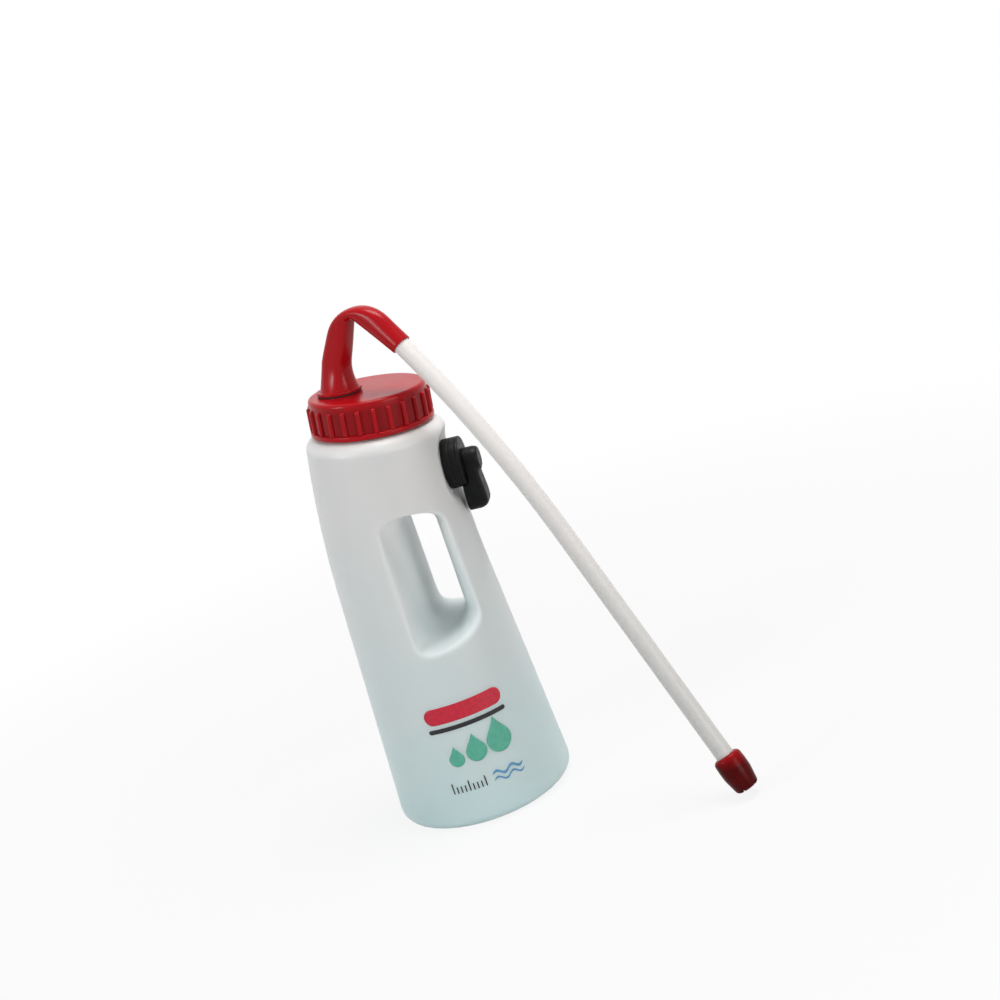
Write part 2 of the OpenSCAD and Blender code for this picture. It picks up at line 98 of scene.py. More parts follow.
# The object's own frame, and those of the neck, the spout and the valve
OBJECT = (np.zeros(3), np.eye(3))
NECK = place("cap_turn", np.array([1.0, 0.0, 0.0]))
SPOUT = place("spout_swivel", np.array(JOINTS["probe_pull"]["axis"]))
VALVE = place("valve_turn", np.array([0.0, 0.0, -1.0]))
# The spout's place on the cap in the neck's frame, whose third number is the height of the cap's top
SPOUT_ON_CAP = seen_from(SPOUT[0], NECK)
# The spout's arm in the spout's upright plane: the angle by which it drops, and its own two directions
ARM_DROP = -math.asin(np.array(JOINTS["probe_pull"]["axis"]) @ SPOUT[1][2])
ARM_FORWARD = np.array([math.cos(ARM_DROP), -math.sin(ARM_DROP)])
ARM_OUT = np.array([math.sin(ARM_DROP), math.cos(ARM_DROP)])


# Kinds of property

def length(name, millimetres, description):
    """A length that a user can change, with its default in millimetres."""
    return FloatProperty(name=name, description=description, default=millimetres * MM, unit="LENGTH",
                         precision=4)


def pair(name, millimetres, description):
    """A place in a plane that a user can change, with its default in millimetres."""
    return FloatVectorProperty(name=name, description=description, size=2, unit="LENGTH", precision=4,
                               default=[value * MM for value in millimetres])


def angle(name, degrees, description):
    """An angle that a user can change, with its default in degrees."""
    return FloatProperty(name=name, description=description, default=math.radians(degrees),
                         subtype="ANGLE")


def colour(name, rgb, description):
    """A colour that a user can change."""
    return FloatVectorProperty(name=name, description=description, default=rgb, size=3, subtype="COLOR",
                               min=0, max=1)


def share(name, value, description):
    """A share from 0 to 1 that a user can change."""
    return FloatProperty(name=name, description=description, default=value, min=0, max=1,
                         subtype="FACTOR")


class BottleSizes(PropertyGroup):
    """Sizes of the moulded bottle."""

    base_r: length("Base radius", 65, "Radius of the bottle at its base")
    base_edge: length("Base edge", 9, "Radius of the round edge at the base")
    hollow_r: length("Hollow radius", 38, "Radius of the hollow in the base")
    hollow_d: length("Hollow depth", 1.5, "Depth of the hollow in the base")
    straight_h: length("Straight height", 168, "Height of the straight lower part")
    waist_r: length("Waist radius", 55, "Radius at the top of the straight part")
    curve_len: length("Curve length", 104, "Length of the curved upper part along its centre line")
    neck_lean: angle("Neck lean", 8.25, "Angle by which the neck leans towards the valve")
    shoulder_r: length("Shoulder radius", 49.3, "Radius at the top of the curved part")
    shoulder_edge: length("Shoulder edge", 10, "Radius of the round shoulder")
    neck_r: length("Neck radius", 37.4, "Outer radius of the neck")
    neck_h: length("Neck height", 21.6, "Height of the neck above its seat")
    neck_fillet: length("Neck fillet", 1.2, "Radius of the fillet at the neck's foot")
    wall: length("Wall", 2.2, "Thickness of the moulded wall")
    flat_r: length("Flat radius", 21, "Radius of the flat that the valve sits on")
    flat_blend: length("Flat blend", 7, "Width of the soft edge round the flat")


class GripHoleSizes(PropertyGroup):
    """Sizes of the hole beside the handle, through the bottle along Y."""

    x: length("Distance", 18, "Distance of the hole from the bottle's axis")
    z: length("Height", 179, "Height of the middle of the hole")
    radius: length("Half width", 13.5, "Half the width of the hole at its narrowest")
    straight: length("Straight length", 61.5, "Length of the straight part of the hole")
    flare_in: length("Inner flare", 4, "Flare on the side of the bottle's axis")
    flare_out: length("Outer flare", 34, "Flare on the handle's side")
    flare_end: length("End flare", 4.5, "Flare at the two ends")
    flare_at: length("Flare depth", 50, "Distance from the middle plane at which the flares are reached")
    flare_power: FloatProperty(name="Flare power", default=2.2, min=1,
                               description="Power of that distance with which the flares grow")
    fillet: length("Fillet", 4, "Reach of the soft edge where the hole meets the bottle's side")


class CapSizes(PropertyGroup):
    """Sizes of the ribbed screw cap."""

    gap: length("Gap", 1, "Gap between the cap's lip and the bottle's shoulder")
    radius: length("Radius", 41.4, "Radius of the cap between its ribs")
    bore_r: length("Bore", 39.4, "Radius of the cap's bore")
    bore_edge: length("Bore edge", 0.4, "Chamfer at the foot of the bore")
    plate: length("Top plate", 3, "Thickness of the cap's top plate")
    edge: length("Edge", 2.4, "Radius of the round edge at the top")
    lip_r: length("Lip radius", 43.5, "Radius of the plain lip below the ribs")
    lip_h: length("Lip height", 3.6, "Height of the plain lip")
    lip_edge: length("Lip edge", 1, "Radius of the lip's round edges")
    ribs: IntProperty(name="Ribs", description="Number of grip ribs", default=24, min=3)
    rib_w: length("Rib width", 3.6, "Width of a grip rib")
    rib_d: length("Rib depth", 2.1, "Height of a grip rib above the wall")
    rib_top: length("Rib top", 5.4, "Distance of the ribs' ends from the cap's top")
    spout_hole_r: length("Spout hole", 10.5, "Radius of the hole for the spout's spigot")
    pitch: length("Thread pitch", 6, "Pitch of the thread")
    thread_d: length("Thread depth", 1.4, "Height of the thread's ridge")
    # Painted shade: the cap's wall between the ribs is darkened in colour, and the darkening fades out below the
    # top edge
    painted_rib_shade: share("Painted shade", 0.6, "Darkening of the wall between the ribs")
    grime_h: length("Grime height", 5, "Height over which the grime fades out below the top edge")


class SpoutSizes(PropertyGroup):
    """Sizes of the elbow that carries the probe. Pairs are places in its upright plane: forward, up."""

    spigot_r: length("Spigot radius", 10.2, "Radius of the spigot in the cap")
    spigot_len: length("Spigot length", 9.2, "Length of the spigot below the cap's top")
    bore_r: length("Channel", 4.6, "Radius of the channel")
    wall: length("Wall", 1.2, "Least wall round the channel")
    edge: length("Edge", 0.5, "Radius of the round edges")
    flange_r: length("Flange radius", 16, "Radius of the flange")
    flange_foot: length("Flange foot", 1.2, "Height of the flange's lower face above the cap")
    flange_t: length("Flange thickness", 2, "Thickness of the flange")
    flare_back: length("Flare back", 13, "Reach of the column's flared foot at the back")
    flare_front: length("Flare front", 14.7, "Reach of the column's flared foot at the front")
    flare_side: length("Flare side", 13.5, "Half the width of the column's flared foot")
    flare_top: length("Flare top", 24, "Height at which the flare ends")
    back_foot: length("Back foot", -6.6, "Place of the column's back at the top of the flare")
    front_foot: length("Front foot", 13.4, "Place of the column's front at the top of the flare")
    back_corner: pair("Back corner", (21.75, 83.85), "Corner in which the back and the arm's top would meet")
    back_bend_r: length("Back bend", 31, "Radius of the bend along the back")
    front_corner: pair("Front corner", (23.2, 53), "Corner between the front and the arm's underside")
    front_bend_r: length("Front bend", 1.5, "Radius of the bend in that corner")
    column_w: length("Column half width", 8.8, "Half the column's width at its foot")
    column_top_w: length("Column top half width", 8.184, "Half the column's width towards its top")
    bend_start_w: length("Bend start half width", 7.7, "Half the bend's width at its start")
    bend_w: length("Bend half width", 7.1, "Half the bend's width across its plane")
    arm_end: pair("Arm end", (60.06, 32), "Middle of the arm's end")
    arm_r: length("Arm radius", 7.5, "Radius of the arm at its end")
    socket_r: length("Socket radius", 6.33, "Radius of the socket for the tube")


class ProbeSizes(PropertyGroup):
    """Sizes of the probe's tube and its soft tip."""

    tube_r: length("Tube radius", 6.25, "Outer radius of the tube")
    tube_bore_r: length("Tube bore", 4.75, "Radius of the tube's bore")
    tube_edge: length("Tube edge", 0.4, "Chamfer at the tube's ends")
    socket_len: length("Socket length", 18, "Length of tube held in the spout's socket")
    curve_r: length("Curve radius", 830, "Radius of the tube's gentle curve")
    curve: angle("Curve", 11.75, "Angle of the tube's gentle curve")
    straight: length("Straight length", 196.6, "Length of the straight part after the curve")
    tip_len: length("Tip length", 26, "Length of the soft tip")
    tip_r: length("Tip radius", 10.15, "Radius of the tip at its widest")
    tip_end_r: length("Tip end radius", 8, "Radius of the tip at its open end")
    tip_hold: length("Tube in the tip", 19.5, "Length of tube inside the tip")
    tip_gap: length("Tip gap", 0.1, "Room between the tube and the tip")
    tip_lip: length("Tip lip", 3.4, "Radius of the round lip where the tube goes in")
    tip_lip_in: length("Lip draw", 0.35, "Distance of the lip's side inside the widest radius")
    belly_start: length("Belly start", 8, "Distance of the widest part from the lip")
    belly_end: length("Belly end", 14, "Distance from the lip at which the tip starts to narrow")
    belly_in: length("Belly draw", 0.1, "Distance inside the widest radius where the tip starts to narrow")
    belly_start_r: length("Belly start bend", 14, "Radius of the bend at the widest part")
    belly_end_r: length("Belly end bend", 20, "Radius of the bend where the tip starts to narrow")
    tip_nose: length("Tip nose", 3, "Radius of the round edge at the open end")
    tip_bore_edge: length("Tip bore edge", 0.5, "Radius of the edge inside the open end")
    notches: IntProperty(name="Notches", description="Number of notches in the open end", default=4, min=1)
    notch_w: length("Notch width", 3, "Width of a notch")
    notch_d: length("Notch depth", 2.4, "Depth of a notch")
    notch_slope: length("Notch slope", 0.6, "Width of the slope at each side of a notch")


class ValveSizes(PropertyGroup):
    """Sizes of the valve's collar and lever, measured from its flat."""

    collar_r: length("Collar radius", 17.7, "Outer radius of the collar")
    collar_foot: length("Collar foot", 0.5, "Gap between the collar and the flat")
    collar_edge: length("Collar edge", 1, "Radius of the collar's outer edge")
    collar_foot_edge: length("Collar foot edge", 0.6, "Radius of the edge at the collar's foot")
    collar_bore_r: length("Collar bore", 13.1, "Radius of the collar's bore")
    groove_w: length("Groove half width", 0.5, "Half the width of a groove round the collar")
    groove_d: length("Groove depth", 0.35, "Depth of a groove round the collar")
    plate_in: length("Plate inside", 10.4, "Inner face of the collar's end plate")
    plate_out: length("Plate outside", 12.9, "Outer face of the collar's end plate")
    stem_r: length("Stem radius", 4, "Radius of the lever's stem")
    stem_gap: length("Stem gap", 0.08, "Room round the lever's stem")
    hub_r: length("Hub radius", 8.7, "Radius of the lever's hub")
    hub_foot: length("Hub foot", 13.2, "Inner face of the lever's hub")
    hub_end: length("Hub end", 24, "Outer face of the lever's hub")
    hub_rise: length("Hub rise", 2.2, "Height of the hub above the arm beside it")
    lever_len: length("Lever length", 36, "Distance from the axis to the end of the arm")
    lever_w: length("Lever width", 18, "Width of the arm")
    lever_edge: length("Lever edge", 2.6, "Radius of the round edge of the outer face")
    lever_swell: length("Lever swell", 1.3, "Rise of the arm's outer face towards its end")
    pad_d: length("Pad depth", 4.8, "Extra depth of the arm's pad towards the bottle")
    pad_edge: length("Pad edge", 0.6, "Radius of the round edge of the inner face")
    nose_r: length("Nose radius", 7, "Radius of the arm's round outer end")


class PrintSizes(PropertyGroup):
    """Place and sizes of the plain printed design on the bottle."""

    around: angle("Around", -75, "Angle of the design's middle round the bottle")
    height: length("Height", 60, "Height of the design's middle")
    lift: length("Lift", 0.1, "Height of the ink above the bottle")
    ink_t: length("Ink thickness", 0.06, "Thickness of the ink")
    bar_w: length("Bar width", 58, "Width of the two bars")
    red_bar_h: length("Red bar height", 12, "Height of the red bar")
    black_bar_h: length("Black bar height", 3.2, "Height of the black bar")
    tick_w: length("Tick width", 0.9, "Width of a tick")
    wave_w: length("Wave width", 24, "Width of a wave")
    wave_h: length("Wave height", 1.6, "Height of a wave's crests above its middle")


class Colours(PropertyGroup):
    """Colours of the finishes."""

    bottle: colour("Bottle", (0.93, 0.92, 0.91), "Milky plastic of the bottle")
    # Painted light: a cyan, slightly darker copy of the bottle's colour that stands in for cool light from the
    # surroundings at the foot
    bottle_low: colour("Bottle's foot", (0.64, 0.94, 0.985), "Cooler milky plastic at the bottle's foot")
    red: colour("Red plastic", (0.37, 0.003, 0.007), "Cap and spout")
    tube: colour("Tube", (0.78, 0.75, 0.735), "Plastic of the probe's tube")
    # Painted shade: a greyer copy of the tube's colour for its low end
    tube_low: colour("Tube's end", (0.60, 0.595, 0.585), "Plastic of the tube at its low end")
    tip: colour("Tip", (0.13, 0.002, 0.003), "Soft tip of the probe")
    black: colour("Black plastic", (0.005, 0.0053, 0.0055), "Collar and lever")
    rubber: colour("Rubber", (0.016, 0.016, 0.017), "Seals and rings")
    steel: colour("Steel", (0.56, 0.57, 0.58), "Spring and clip")
    disc: colour("Disc", (0.72, 0.72, 0.70), "Metering disc")
    ink_red: colour("Red ink", (0.56, 0.02, 0.045), "Red in the printed design")
    ink_black: colour("Black ink", (0.02, 0.02, 0.022), "Black in the printed design")
    ink_green: colour("Green ink", (0.10, 0.42, 0.30), "Green in the printed design")
    ink_blue: colour("Blue ink", (0.10, 0.30, 0.52), "Blue in the printed design")
    floor: colour("Floor", (0.65, 0.65, 0.65), "Paper of the floor")


class StageSettings(PropertyGroup):
    """Camera, floor and light."""

    azimuth: angle("Azimuth", 11.694, "Direction from which the camera looks")
    elevation: angle("Elevation", 14.632, "Height of the camera above the horizon, as an angle")
    roll: angle("Roll", -18.739, "Turn of the camera about its own axis")
    camera: FloatVectorProperty(name="Camera", description="Place of the camera", subtype="TRANSLATION",
                                default=(0.34035, -1.27022, 0.54640))
    lens: FloatProperty(name="Lens", description="Focal length on a 36 mm sensor", default=69.105,
                        unit="CAMERA")
    floor: length("Floor", 6000, "Width of the floor")
    glow: share("Floor's glow", 0.87, "Share of plain white in the floor near the object")
    glow_start: length("Glow start", 250, "Distance at which the floor starts to turn white")
    glow_end: length("Glow end", 900, "Distance at which the floor is plain white")
    ambient: share("Ambient", 0.20, "Light of the surroundings on the object")


# Meshes from arrays

def grid_faces(rows, columns, closed_rows=False):
    """Quads of a grid whose columns close on themselves. With the rows running up the outside and the
    columns anticlockwise, the faces point outwards."""
    row = np.arange(rows if closed_rows else rows - 1)[:, None]
    column = np.arange(columns)[None, :]
    after, above = (column + 1) % columns, (row + 1) % rows
    corners = [row * columns + column, row * columns + after, above * columns + after,
               above * columns + column]
    return np.stack(np.broadcast_arrays(*corners), -1).reshape(-1, 4)


def ring_surface(rows):
    """Rings of points with the faces between them, where the last ring meets the first one."""
    return rows, grid_faces(*rows.shape[:2], closed_rows=True)


def weld(points, quads):
    """Joins points that share a place, and turns quads that lose a side into triangles."""
    _, first, index = np.unique(np.round(points / WELD).astype(np.int64), axis=0, return_index=True,
                                return_inverse=True)
    quads = index.reshape(-1)[quads]
    double = quads == np.roll(quads, -1, axis=1)
    lost = double.sum(1)
    triangles = quads[lost == 1][~double[lost == 1]].reshape(-1, 3)
    return points[first], quads[lost == 0].tolist() + triangles.tolist()


def link(name, data):
    """A new object in the scene."""
    made = bpy.data.objects.new(name, data)
    bpy.context.scene.collection.objects.link(made)
    return made


def add_piece(name, surface, spot, finish, body, slot, *nodes):
    """A welded mesh of a surface in a local frame, with smooth faces and crisp edges, on its body and in
    the place of its CAD nodes."""
    points, quads = surface
    points, faces = weld(put(points, spot).reshape(-1, 3), quads)
    mesh = bpy.data.meshes.new(name)
    mesh.from_pydata(points.tolist(), [], faces)
    mesh.shade_smooth()
    mesh.set_sharp_from_angle(angle=SHARP)
    mesh.materials.append(finish)
    piece = link(name, mesh)
    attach(piece, body)
    if nodes:
        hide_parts(*nodes)
    return piece


def add_wall(piece, thickness):
    """Gives a piece's skin its thickness, inwards."""
    solidify = piece.modifiers.new("wall", "SOLIDIFY")
    solidify.thickness = thickness
    solidify.offset = -1


def through(at, knots, values):
    """A smooth curve through the knots: cubic pieces whose slopes come from the neighbouring knots."""
    knots, values = np.asarray(knots, float), np.asarray(values, float)
    slopes = np.gradient(values, knots)
    i = np.clip(np.searchsorted(knots, at) - 1, 0, len(knots) - 2)
    step = knots[i + 1] - knots[i]
    t = (at - knots[i]) / step
    return ((1 + 2 * t) * (1 - t) ** 2 * values[i] + t * t * (3 - 2 * t) * values[i + 1]
            + step * t * (1 - t) * ((1 - t) * slopes[i] - t * slopes[i + 1]))


def smooth(t):
    """A soft step from 0 to 1 as t goes from 0 to 1."""
    t = np.clip(t, 0, 1)
    return t * t * (3 - 2 * t)


def sagitta(radius, inset):
    """Depth of a round edge at an inset from its side: its radius at 0, and none from its radius on."""
    off = np.clip(radius - inset, 0, radius)
    return radius - np.sqrt(radius ** 2 - off ** 2)


def turns(columns):
    """Angles of so many columns round a circle."""
    return TURN * np.arange(columns) / columns


def arc(centre, radii, start, end, steps=9):
    """Points of an arc with one radius, or one along each axis. Its ends are given in quarter turns."""
    swing = QUARTER * np.linspace(start, end, steps)
    return np.asarray(centre) + np.asarray(radii) * np.stack([np.cos(swing), np.sin(swing)], -1)


def upright(radius, heights):
    """Points of a profile at one radius and several heights."""
    return np.stack([np.full(len(heights), radius), heights], -1)


def rounded(corners, steps=5):
    """A closed outline of corners (x, y, radius), each rounded by an arc that touches its two sides."""
    outline = []
    for i, (x, y, radius) in enumerate(corners):
        here = np.array([x, y])
        if radius == 0:
            outline.append(here[None])
            continue
        back = unit(np.array(corners[i - 1][:2]) - here)
        ahead = unit(np.array(corners[(i + 1) % len(corners)][:2]) - here)
        half = math.acos(np.clip(back @ ahead, -1, 1)) / 2
        centre = here + unit(back + ahead) * radius / math.sin(half)
        start = here + back * radius / math.tan(half) - centre
        end = here + ahead * radius / math.tan(half) - centre
        first = math.atan2(start[1], start[0])
        swing = (math.atan2(end[1], end[0]) - first + math.pi) % TURN - math.pi
        outline.append(arc(centre, radius, first / QUARTER, (first + swing) / QUARTER, steps))
    return np.vstack(outline)


def revolve(profile, turn):
    """A profile of points (radius, height) turned round the Z axis, as an array of rows and columns."""
    radius, height = profile[:, :1], profile[:, 1:]
    return np.stack(np.broadcast_arrays(radius * np.cos(turn), radius * np.sin(turn), height), -1)


# A thread's ridge: half its width at the root and at the crest, how far its root sinks into the wall,
# and the angle over which each end fades
THREAD_ROOT = 1.3 * MM
THREAD_CREST = 0.8 * MM
THREAD_SINK = 0.3 * MM
THREAD_FADE = math.radians(25)


def thread_ridge(root_r, crest_r, start, pitch, columns=120):
    """One turn of a right-hand screw ridge: a trapezium carried along a helix, sunk away at its ends."""
    turn = np.linspace(0, TURN, columns)[:, None]
    fade = smooth(np.minimum(turn, TURN - turn) / THREAD_FADE)
    across = np.array([-THREAD_ROOT, -THREAD_CREST, THREAD_CREST, THREAD_ROOT])
    radius = root_r + (crest_r - root_r) * fade * np.array([0, 1, 1, 0])
    height = start + pitch * turn / TURN + across
    points = np.stack([radius * np.cos(turn), radius * np.sin(turn), height], -1)
    if crest_r > root_r:
        points = points[:, ::-1]
    sides = grid_faces(columns, 4)
    ends = np.array([[3, 2, 1, 0], [0, 1, 2, 3]]) + np.array([[0], [4 * (columns - 1)]])
    return points, np.vstack([sides, ends])


# Finishes

def feed(tree, socket, value):
    """Links a socket to another one, or sets it to a plain value."""
    if isinstance(value, bpy.types.NodeSocket):
        tree.links.new(value, socket)
    else:
        socket.default_value = value


def calculate(tree, operation, *values):
    """The result of a Math node on sockets or plain values."""
    node = tree.nodes.new("ShaderNodeMath")
    node.operation = operation
    for socket, value in zip(node.inputs, values):
        feed(tree, socket, value)
    return node.outputs[0]


class Finish:
    """A material being made: its node tree, its shader and its Object coordinates."""

    def __init__(self, name, **sockets):
        self.material = bpy.data.materials.new(name)
        self.material.use_nodes = True
        self.tree = self.material.node_tree
        self.shader = self.tree.nodes["Principled BSDF"]
        self.set(self.shader, sockets)
        self.object = self.node("TexCoord").outputs["Object"]
        _, self.y, self.z = self.node("SeparateXYZ", Vector=self.object).outputs

    def set(self, node, sockets):
        """Sets or links sockets, whose names have _ for a space."""
        for name, value in sockets.items():
            feed(self.tree, node.inputs[name.replace("_", " ")], value)

    def made(self, **sockets):
        """The finished material, after setting or linking more of its shader's sockets."""
        self.set(self.shader, sockets)
        return self.material

    def node(self, kind, **sockets):
        """A new node with its sockets set or linked."""
        node = self.tree.nodes.new("ShaderNode" + kind)
        self.set(node, sockets)
        return node

    def noise(self, scale, detail=3.0, stretch=(1, 1, 1), turn=(0, 0, 0)):
        """Noise of so many lumps per metre, which may be drawn out along a turned axis."""
        spot = self.node("Mapping", Vector=self.object, Scale=stretch, Rotation=turn)
        return self.node("TexNoise", Vector=spot.outputs[0], Scale=scale, Detail=detail).outputs[0]

    def between(self, value, low, high, start=0.3, end=0.7):
        """A number that goes from low to high as the value goes from start to end."""
        return self.node("MapRange", Value=value, From_Min=start, From_Max=end, To_Min=low,
                         To_Max=high).outputs[0]

    def tint(self, value, low, high, start=0.3, end=0.7):
        """A colour that goes from low to high as the value goes from start to end."""
        ramp = self.node("ValToRGB", Fac=value)
        for element, position, rgb in zip(ramp.color_ramp.elements, (start, end), (low, high)):
            element.position = position
            element.color = (*rgb, 1)
        return ramp.outputs[0]

    def rise(self, low, high, cloud, scale):
        """A number that goes from 0 to 1 between two heights, with clouds of so many lumps per metre."""
        level = self.between(self.z, 0, 1, low, high)
        return calculate(self.tree, "ADD", level, self.between(self.noise(scale, 4), -cloud, cloud))

    def bump(self, height, distance, under=None):
        """Raises the surface by up to a distance, over another bump if one is given."""
        node = self.node("Bump", Height=height, Distance=distance, Strength=1.0)
        if under is not None:
            feed(self.tree, node.inputs["Normal"], under)
        return node.outputs[0]


def shade(rgb, factor):
    """A colour made lighter or darker."""
    return [min(1.0, channel * factor) for channel in rgb]


def milky_polyethylene(colours):
    """Milky satin polyethylene: soft clouding, a painted cool cast of light that grows towards the foot, a fine
    moulded skin and a faint parting line.
    """
    look = Finish("milky_polyethylene", Subsurface_Weight=0.7, Subsurface_Radius=(1.0, 1.0, 1.0),
                  Subsurface_Scale=10 * MM, Specular_IOR_Level=0.35)
    skin = look.bump(look.noise(900, 2), 0.06 * MM)
    from_middle = calculate(look.tree, "ABSOLUTE", look.y)
    parting = look.between(from_middle, 1, 0, 0.1 * MM, 0.6 * MM)
    return look.made(
        # Painted light: the colour turns cyan towards the foot, a cast of cool light from the surroundings
        Base_Color=look.tint(look.rise(0, 240 * MM, 0.08, 22), colours.bottle_low, colours.bottle, 0, 1),
        Roughness=look.between(look.noise(60, 3), 0.34, 0.44),
        Normal=look.bump(parting, 0.12 * MM, skin),
    )


def red_gloss(colours):
    """Glossy red injection moulding with faint flow marks, and painted shade from a piece's attribute that darkens
    its colour between the cap's ribs.
    """
    look = Finish("red_gloss", Specular_IOR_Level=0.15)
    # Painted shade between the cap's ribs: a piece's attribute darkens the base colour
    painted_rib_shade = look.node("Attribute")
    painted_rib_shade.attribute_name = "painted_rib_shade"
    flow = look.between(look.noise(45, 4), 0.9, 1)
    tone_and_painted_light = calculate(look.tree, "SUBTRACT", flow, painted_rib_shade.outputs["Fac"])
    return look.made(
        Base_Color=look.tint(tone_and_painted_light, shade(colours.red, 0.5), shade(colours.red, 1.08), 0, 1),
        Roughness=look.between(look.noise(60, 3), 0.20, 0.27),
        Normal=look.bump(look.noise(70, 2), 0.03 * MM),
    )


def tube_satin(colours):
    """Satin white tube with faint lines along its length from the die, and painted shade that greys its colour
    towards its low end.
    """
    look = Finish("tube_satin", Subsurface_Weight=0.2, Subsurface_Radius=(1.0, 0.9, 0.8),
                  Subsurface_Scale=3 * MM, Specular_IOR_Level=0.4)
    along = look.noise(700, 2, stretch=(1, 1, 0.02), turn=(0, math.radians(-32), math.radians(25)))
    # Painted shade: the colour greys towards the tube's low end
    tone_and_painted_light = look.rise(70 * MM, 300 * MM, 0.04, 30)
    return look.made(
        Base_Color=look.tint(tone_and_painted_light, colours.tube_low, colours.tube, 0, 1),
        Roughness=look.between(along, 0.33, 0.45),
        Normal=look.bump(along, 0.008 * MM),
    )


def tip_gloss(colours):
    """Dark red soft rubber with tiny dimples; its colour is painted lighter towards the top, where the lip catches
    the light, and painted darker in shade over its lower part.
    """
    look = Finish("tip_gloss", Specular_IOR_Level=0.07)
    # Painted light and shade: the colour runs from a shaded copy over the lower part to a lit copy, three times as
    # light, at the top by the lip
    low, high = (corner[2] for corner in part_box("probe_tip"))
    tone_and_painted_light = look.rise(low + 0.58 * (high - low), high, 0.1, 160)
    return look.made(
        Base_Color=look.tint(tone_and_painted_light, shade(colours.tip, 0.55), shade(colours.tip, 3), 0, 1),
        Roughness=look.between(look.noise(250, 3), 0.22, 0.32),
        Normal=look.bump(look.noise(300, 2), 0.01 * MM),
    )


def black_satin(colours):
    """Satin black moulding with a fine grain and a trace of dust."""
    look = Finish("black_satin", Specular_IOR_Level=0.12)
    return look.made(
        Base_Color=look.tint(look.noise(320, 6), colours.black, shade(colours.black, 1.9), 0.45, 0.85),
        Roughness=look.between(look.noise(240, 4), 0.36, 0.52),
        Normal=look.bump(look.noise(1500, 2), 0.05 * MM),
    )


def matt_rubber(colours):
    """Matt black rubber with a bloom."""
    look = Finish("matt_rubber", Specular_IOR_Level=0.3)
    return look.made(
        Base_Color=look.tint(look.noise(300, 5), colours.rubber, shade(colours.rubber, 2), 0.4, 0.9),
        Roughness=look.between(look.noise(400, 3), 0.55, 0.75),
        Normal=look.bump(look.noise(2000, 2), 0.04 * MM),
    )


def drawn_steel(colours):
    """Bright drawn steel with fine brushing."""
    look = Finish("drawn_steel", Metallic=1.0)
    brush = look.noise(3000, 2, stretch=(1, 0.05, 1))
    return look.made(
        Base_Color=look.tint(brush, shade(colours.steel, 0.9), shade(colours.steel, 1.05)),
        Roughness=look.between(brush, 0.22, 0.38),
    )


def white_acetal(colours):
    """Off-white acetal with a slight grain."""
    look = Finish("white_acetal", Specular_IOR_Level=0.4)
    return look.made(
        Base_Color=look.tint(look.noise(200, 3), shade(colours.disc, 0.95), shade(colours.disc, 1.03)),
        Roughness=look.between(look.noise(300, 3), 0.35, 0.5),
    )


def ink(name, rgb):
    """Screen-printed ink: slightly uneven in colour and gloss."""
    look = Finish(name, Specular_IOR_Level=0.3)
    return look.made(
        Base_Color=look.tint(look.noise(350, 4), shade(rgb, 0.88), shade(rgb, 1.1)),
        Roughness=look.between(look.noise(500, 3), 0.38, 0.52),
    )


def material(make, colours):
    """The material that a finish's function makes, made at its first use."""
    return bpy.data.materials.get(make.__name__) or make(colours)


# The bottle's side as a function of an angle and a height

COLUMNS = 180
ANGLES = turns(COLUMNS) - math.pi
# The part of the side, in columns and heights, that a patch with the grip hole takes up
HOLE_COLUMNS = (37, 80)
HOLE_HEIGHTS = (108 * MM, 248 * MM)
HOLE_CELLS = 50
# Angle round the hole's end at which the patch's corners are met
HOLE_CORNER = math.radians(28)
# Rows along the hole's wall, over its soft edge and on the side up to the patch's border
WALL_ROWS = 12
EDGE_ROWS = 10
SIDE_ROWS = 10
# Share of the fillet's reach at which the soft edge starts inside the hole
EDGE_DEPTH = 0.8
# Steps of halving that find where the hole meets the side
HALVINGS = 40


def side_radius(bottle, height):
    """Radius of the side at a height: it falls evenly to the waist, and evenly again to the shoulder."""
    t = (height - bottle.straight_h) / bottle.curve_len
    below = bottle.base_r + (bottle.waist_r - bottle.base_r) * height / bottle.straight_h
    return np.where(t < 0, below, bottle.waist_r + (bottle.shoulder_r - bottle.waist_r) * t)


def side_point(bottle, theta, height):
    """A point of the side at an angle and a height along the side's middle line, with rings square to
    that line, which is straight up to the waist and then an arc that leans towards the handle."""
    lean = np.clip((height - bottle.straight_h) / bottle.curve_len, 0, None) * bottle.neck_lean
    arc_r = bottle.curve_len / bottle.neck_lean
    radius = side_radius(bottle, height)
    out = radius * np.cos(theta)
    x = arc_r * (1 - np.cos(lean)) + out * np.cos(lean)
    z = np.minimum(height, bottle.straight_h) + arc_r * np.sin(lean) - out * np.sin(lean)
    return np.stack([x, radius * np.sin(theta), z], -1)


def side_place(bottle, x, z):
    """The height of the ring through (x, z), and the distance of (x, z) from the ring's middle."""
    arc_r = bottle.curve_len / bottle.neck_lean
    above = z - bottle.straight_h
    height = bottle.straight_h + arc_r * np.arctan2(above, arc_r - x)
    return np.where(above > 0, height, z), np.where(above > 0, arc_r - np.hypot(arc_r - x, above), x)


def half_width(bottle, x, z):
    """Half the bottle's width along Y at (x, z)."""
    height, out = side_place(bottle, x, z)
    return np.sqrt(np.clip(side_radius(bottle, height) ** 2 - out ** 2, 0, None))


